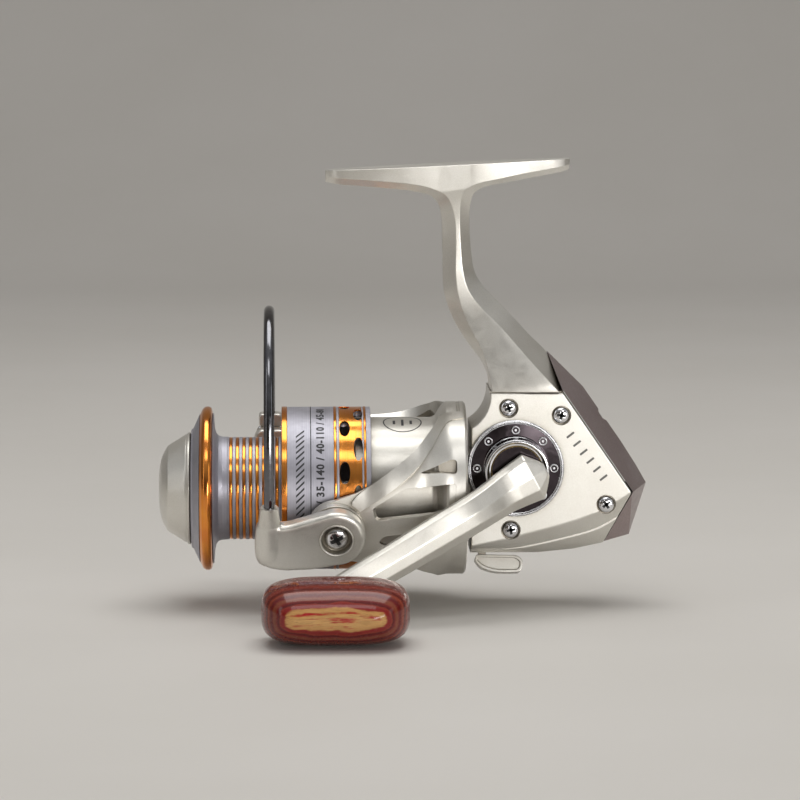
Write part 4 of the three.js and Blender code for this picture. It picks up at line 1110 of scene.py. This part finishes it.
near_plate = prism("tool", lever_outline(
    [(-65.2, 4, 2.2), (-71, 4, 1), (-73.4, -2), (-73, -6, 2), (-70.6, -8.9, 2), (-66, -9.7),
     (-58, -9.4), (-54, -8.7)],
    8.1, -90, 112), LEVER_Y[0] + 0.45, LEVER_Y[1], on_rotor)
ease(near_plate, 1.5, 3, 50)
elbow = loft("tool", [ellipse_ring(BAIL_X, y, z, rx, ry) for z, rx, ry, y in (
    (5, 2.4, 2, -33.2), (4.5, 3.4, 2.7, -33.15), (3.2, 3.85, 2.9, -33.1), (1, 4.1, 2.95, -33.1),
    (-3, 4.2, 2.95, -33.1), (-6, 3.95, 2.8, -33.1), (-7.8, 3.15, 2.25, -33.1),
    (-8.6, 1.8, 1.4, -33.1))], on_rotor)
elbow_web = hull("tool", [(-66.4, y, 4.3) for y in (-34.6, -31.6)]
                 + [(-64, y, 3.5) for y in (-34.8, -31)] + [(-67.4, y, -4) for y in (-35, -31)]
                 + [(-62, y, -4) for y in (-35, -31)] + [(-67.2, y, 4.5) for y in (-33.9, -32.4)], on_rotor)
near_lever = melt([near_plate, elbow, elbow_web], "bail_lever_near", 0.3, 10)
cut(near_lever, [rod("tool", -40, -28, 4.6, PIVOT_X, 0, 96, on_rotor)])
show(near_lever, champagne, "bail", ["bail_arm_near"], 55, False)
boss_near = lathe("bail_lever_bore_rim", rounded([
    (-30.2, 2.1), (-30.2, 4.7), (-35.75, 4.85), (-35.9, 4.7), (-35.9, 4.5), (-35.6, 4.3), (-33, 4.2),
    (-33, 2.1)], 0.15, 4), "Y", (PIVOT_X, 0), 144, True, on_rotor)
show(boss_near, champagne, "bail")
COLLAR = (
    (3.6, 3.3, -33.5), (4.6, 3.25, -33.6), (5.2, 3.1, -33.7), (7, 2.9, -34), (9, 2.7, -34.3),
    (9.6, 2.6, -34.4), (9.85, 2.4, -34.4), (9.9, 1.9, -34.4),
)
collar = loft("bail_wire_collar", [ellipse_ring(BAIL_X, y, z, r, min(r, 2.4)) for z, r, y in COLLAR],
              on_rotor)
show(collar, champagne, "bail", angle=50)

for name, s, turn in (("bail_screw_near", -1, 28), ("bail_screw_far", 1, 10)):
    head = cross_head(name + "_head", PIVOT_X, 0, 3.3, s * 35.35, s * 33.1, turn, "rotor", on_rotor, 1.3)
    show(head, chrome, "rotor", [name], 40)

hoop = []
for i in range(97):
    a = math.radians(12 + (172 - 12) * i / 96)
    hoop.append((BAIL_X, -35.5 * math.cos(a), 53 * math.sin(a)))
hoop = [(BAIL_X, -34.1, 6.5), (BAIL_X, -34.45, 8.4)] + hoop
wire = tube("bail_wire_hoop", hoop, 1.5, 28, on_rotor)
cut(wire, [rod("tool", 36.2, 45, 6, BAIL_X, 6, 24, on_rotor)])
show(wire, wire_chrome, "bail", ["bail_wire"], 60, False)

far_plate = prism("bail_lever_far", lever_outline(
    [(-64, 4.6), (-73.2, 4.6, 1.2), (-74.6, 2.2), (-74.6, -2.8), (-72.4, -5), (-62, -7.6)],
    8.1, -90, 112), 33.6, 30.2, on_rotor)
cut(far_plate, [rod("tool", 29, 37, r, x, 0, 32, on_rotor) for r, x in ((1.5, ROLLER_X), (2.1, PIVOT_X))])
ease(far_plate, 0.7, 4, 40)
show(far_plate, champagne, "bail", ["bail_arm_far"])
boss_far = lathe("bail_lever_boss_far", rounded([
    (33.2, 2.1), (33.2, 7.4), (35.4, 7.4), (36, 6.8), (36, 5.3), (35.6, 5), (33.4, 4.85),
    (33.4, 2.1)], 0.2, 4), "Y", (PIVOT_X, 0), 144, True, on_rotor)
show(boss_far, champagne, "bail")
wire_seat = ease(prism("bail_wire_seat", rounded([(-73.2, 4.2), (-66.4, 4.2), (-66.4, 8.4), (-73.2, 8.4)],
                                                 1.2, 4), 33.4, 36.1, on_rotor), 0.5, 3, 50)
show(wire_seat, champagne, "bail")
roller = lathe("line_roller_turned", rounded([
    (33.9, 1.5), (33.9, 4), (34.3, 3.9), (34.8, 3.25), (35.6, 3.05), (36.4, 3.05), (37.2, 3.25),
    (37.7, 3.9), (38.1, 4), (38.1, 1.5)], 0.3, 3), "Y", (ROLLER_X, 0), 96, True, on_rotor)
show(roller, chrome, "roller", ["line_roller"])
roller_screw = cross_head("roller_screw_head", ROLLER_X, 0, 3, 40.3, 38.3, 0, "bail", on_rotor, 0.9)
shank = rod("shank", 30.5, 38.4, 1.3, ROLLER_X, 0, 32, on_rotor)
show(join([roller_screw, shank], "roller_screw_turned"), chrome, "bail", ["roller_screw"], 40)

# ---- inner pieces keep their CAD shape and take the same finishes ----
for part in frame["record"]["subparts"]:
    node = frame["nodes"][part["node"]]
    if part["node"] not in USED:
        node.data.materials.clear()
        node.data.materials.append(SLOTS[part["material_slot"]][0])
        for polygon in node.data.polygons:
            polygon.material_index = 0

# ---- stage, lights and camera ----
FLOOR_Z = -0.1266


def pale(name, colour, dark):
    k = Look(name)
    tone = k.patches(k.noise(6, 4), dark, colour)
    return k.finish(Base_Color=tone, Roughness=k.range(k.noise(14, 3), 0.5, 0.66),
                    Normal=k.bump(k.noise(700, 4), 0.05, 0.1))


pale_floor = pale("pale_floor", (0.66, 0.635, 0.6), (0.63, 0.605, 0.565))
SWEEP_BEND_Y = 0.9
SWEEP_BEND_R = 0.7
SWEEP_TOP_Z = 3.0
sweep = [(y, FLOOR_Z) for y in (-9.0, -5.0, -3.0, -1.6, -0.8, -0.2, 0.3)]
for i in range(1, 13):
    a = math.pi / 2 * i / 12
    sweep.append((SWEEP_BEND_Y + SWEEP_BEND_R * math.sin(a), FLOOR_Z + SWEEP_BEND_R * (1 - math.cos(a))))
sweep.append((SWEEP_BEND_Y + SWEEP_BEND_R, SWEEP_TOP_Z))
mesh = bpy.data.meshes.new("stage_sweep")
verts = [(x, y, z) for x in (-6, 6) for y, z in sweep]
n = len(sweep)
mesh.from_pydata(verts, [], [(i, i + 1, n + i + 1, n + i) for i in range(n - 1)])
floor = add("stage_sweep", mesh)
mesh.shade_smooth()
mesh.materials.append(pale_floor)


def aim(thing, at, target):
    thing.location = at
    thing.rotation_euler = (Vector(target) - Vector(at)).to_track_quat("-Z", "Y").to_euler()


def softbox(name, at, target, width, height, power, colour=(1, 1, 1)):
    data = bpy.data.lights.new(name, "AREA")
    data.shape = "RECTANGLE"
    data.size, data.size_y = width, height
    data.energy = power
    data.color = colour
    aim(add(name, data), at, target)


MIDDLE = (-0.01, 0, -0.07)
softbox("key", (0.55, -1.3, 0.02), MIDDLE, 0.9, 0.34, 9, (1, 0.99, 0.98))
softbox("high_front", (-0.1, -0.75, 0.95), MIDDLE, 0.7, 0.3, 1.8, (1, 0.99, 0.98))
softbox("overhead", (0.0, 0.1, 0.8), MIDDLE, 0.8, 0.6, 4.8, (1, 0.995, 0.98))
softbox("fill", (0.95, -0.5, 0.2), MIDDLE, 0.3, 0.6, 0.5, (0.97, 0.985, 1))
softbox("left_strip", (-0.9, -0.4, 0.25), MIDDLE, 0.15, 0.8, 0.6)

world = bpy.data.worlds.new("studio")
world.use_nodes = True
bpy.context.scene.world = world
nodes, links = world.node_tree.nodes, world.node_tree.links
direction = nodes.new("ShaderNodeTexCoord").outputs["Generated"]
split = nodes.new("ShaderNodeSeparateXYZ")
links.new(direction, split.inputs[0])
height = nodes.new("ShaderNodeMapRange")
height.inputs["From Min"].default_value = -1
links.new(split.outputs[2], height.inputs["Value"])
sky = nodes.new("ShaderNodeValToRGB")
links.new(height.outputs[0], sky.inputs["Fac"])
fill(sky.color_ramp, (
    (0.0, (0.10, 0.07, 0.05)), (0.42, (0.2, 0.14, 0.08)), (0.5, (0.21, 0.155, 0.09)),
    (0.6, (0.13, 0.115, 0.09)), (0.75, (0.5, 0.5, 0.51)), (1.0, (0.9, 0.9, 0.9)),
))
links.new(sky.outputs["Color"], nodes["Background"].inputs["Color"])
nodes["Background"].inputs["Strength"].default_value = 0.5

LENS = 184.5
CAMERA_AT = (-0.04505, -1.168, 0.06405)
CAMERA_TARGET = (-0.01355, 0, -0.06765)
camera_data = bpy.data.cameras.new("camera")
camera_data.sensor_width = 36
camera_data.lens = LENS
camera_data.clip_end = 20
camera = add("camera", camera_data)
aim(camera, CAMERA_AT, CAMERA_TARGET)
bpy.context.scene.camera = camera
bpy.context.scene.view_settings.view_transform = "Standard"
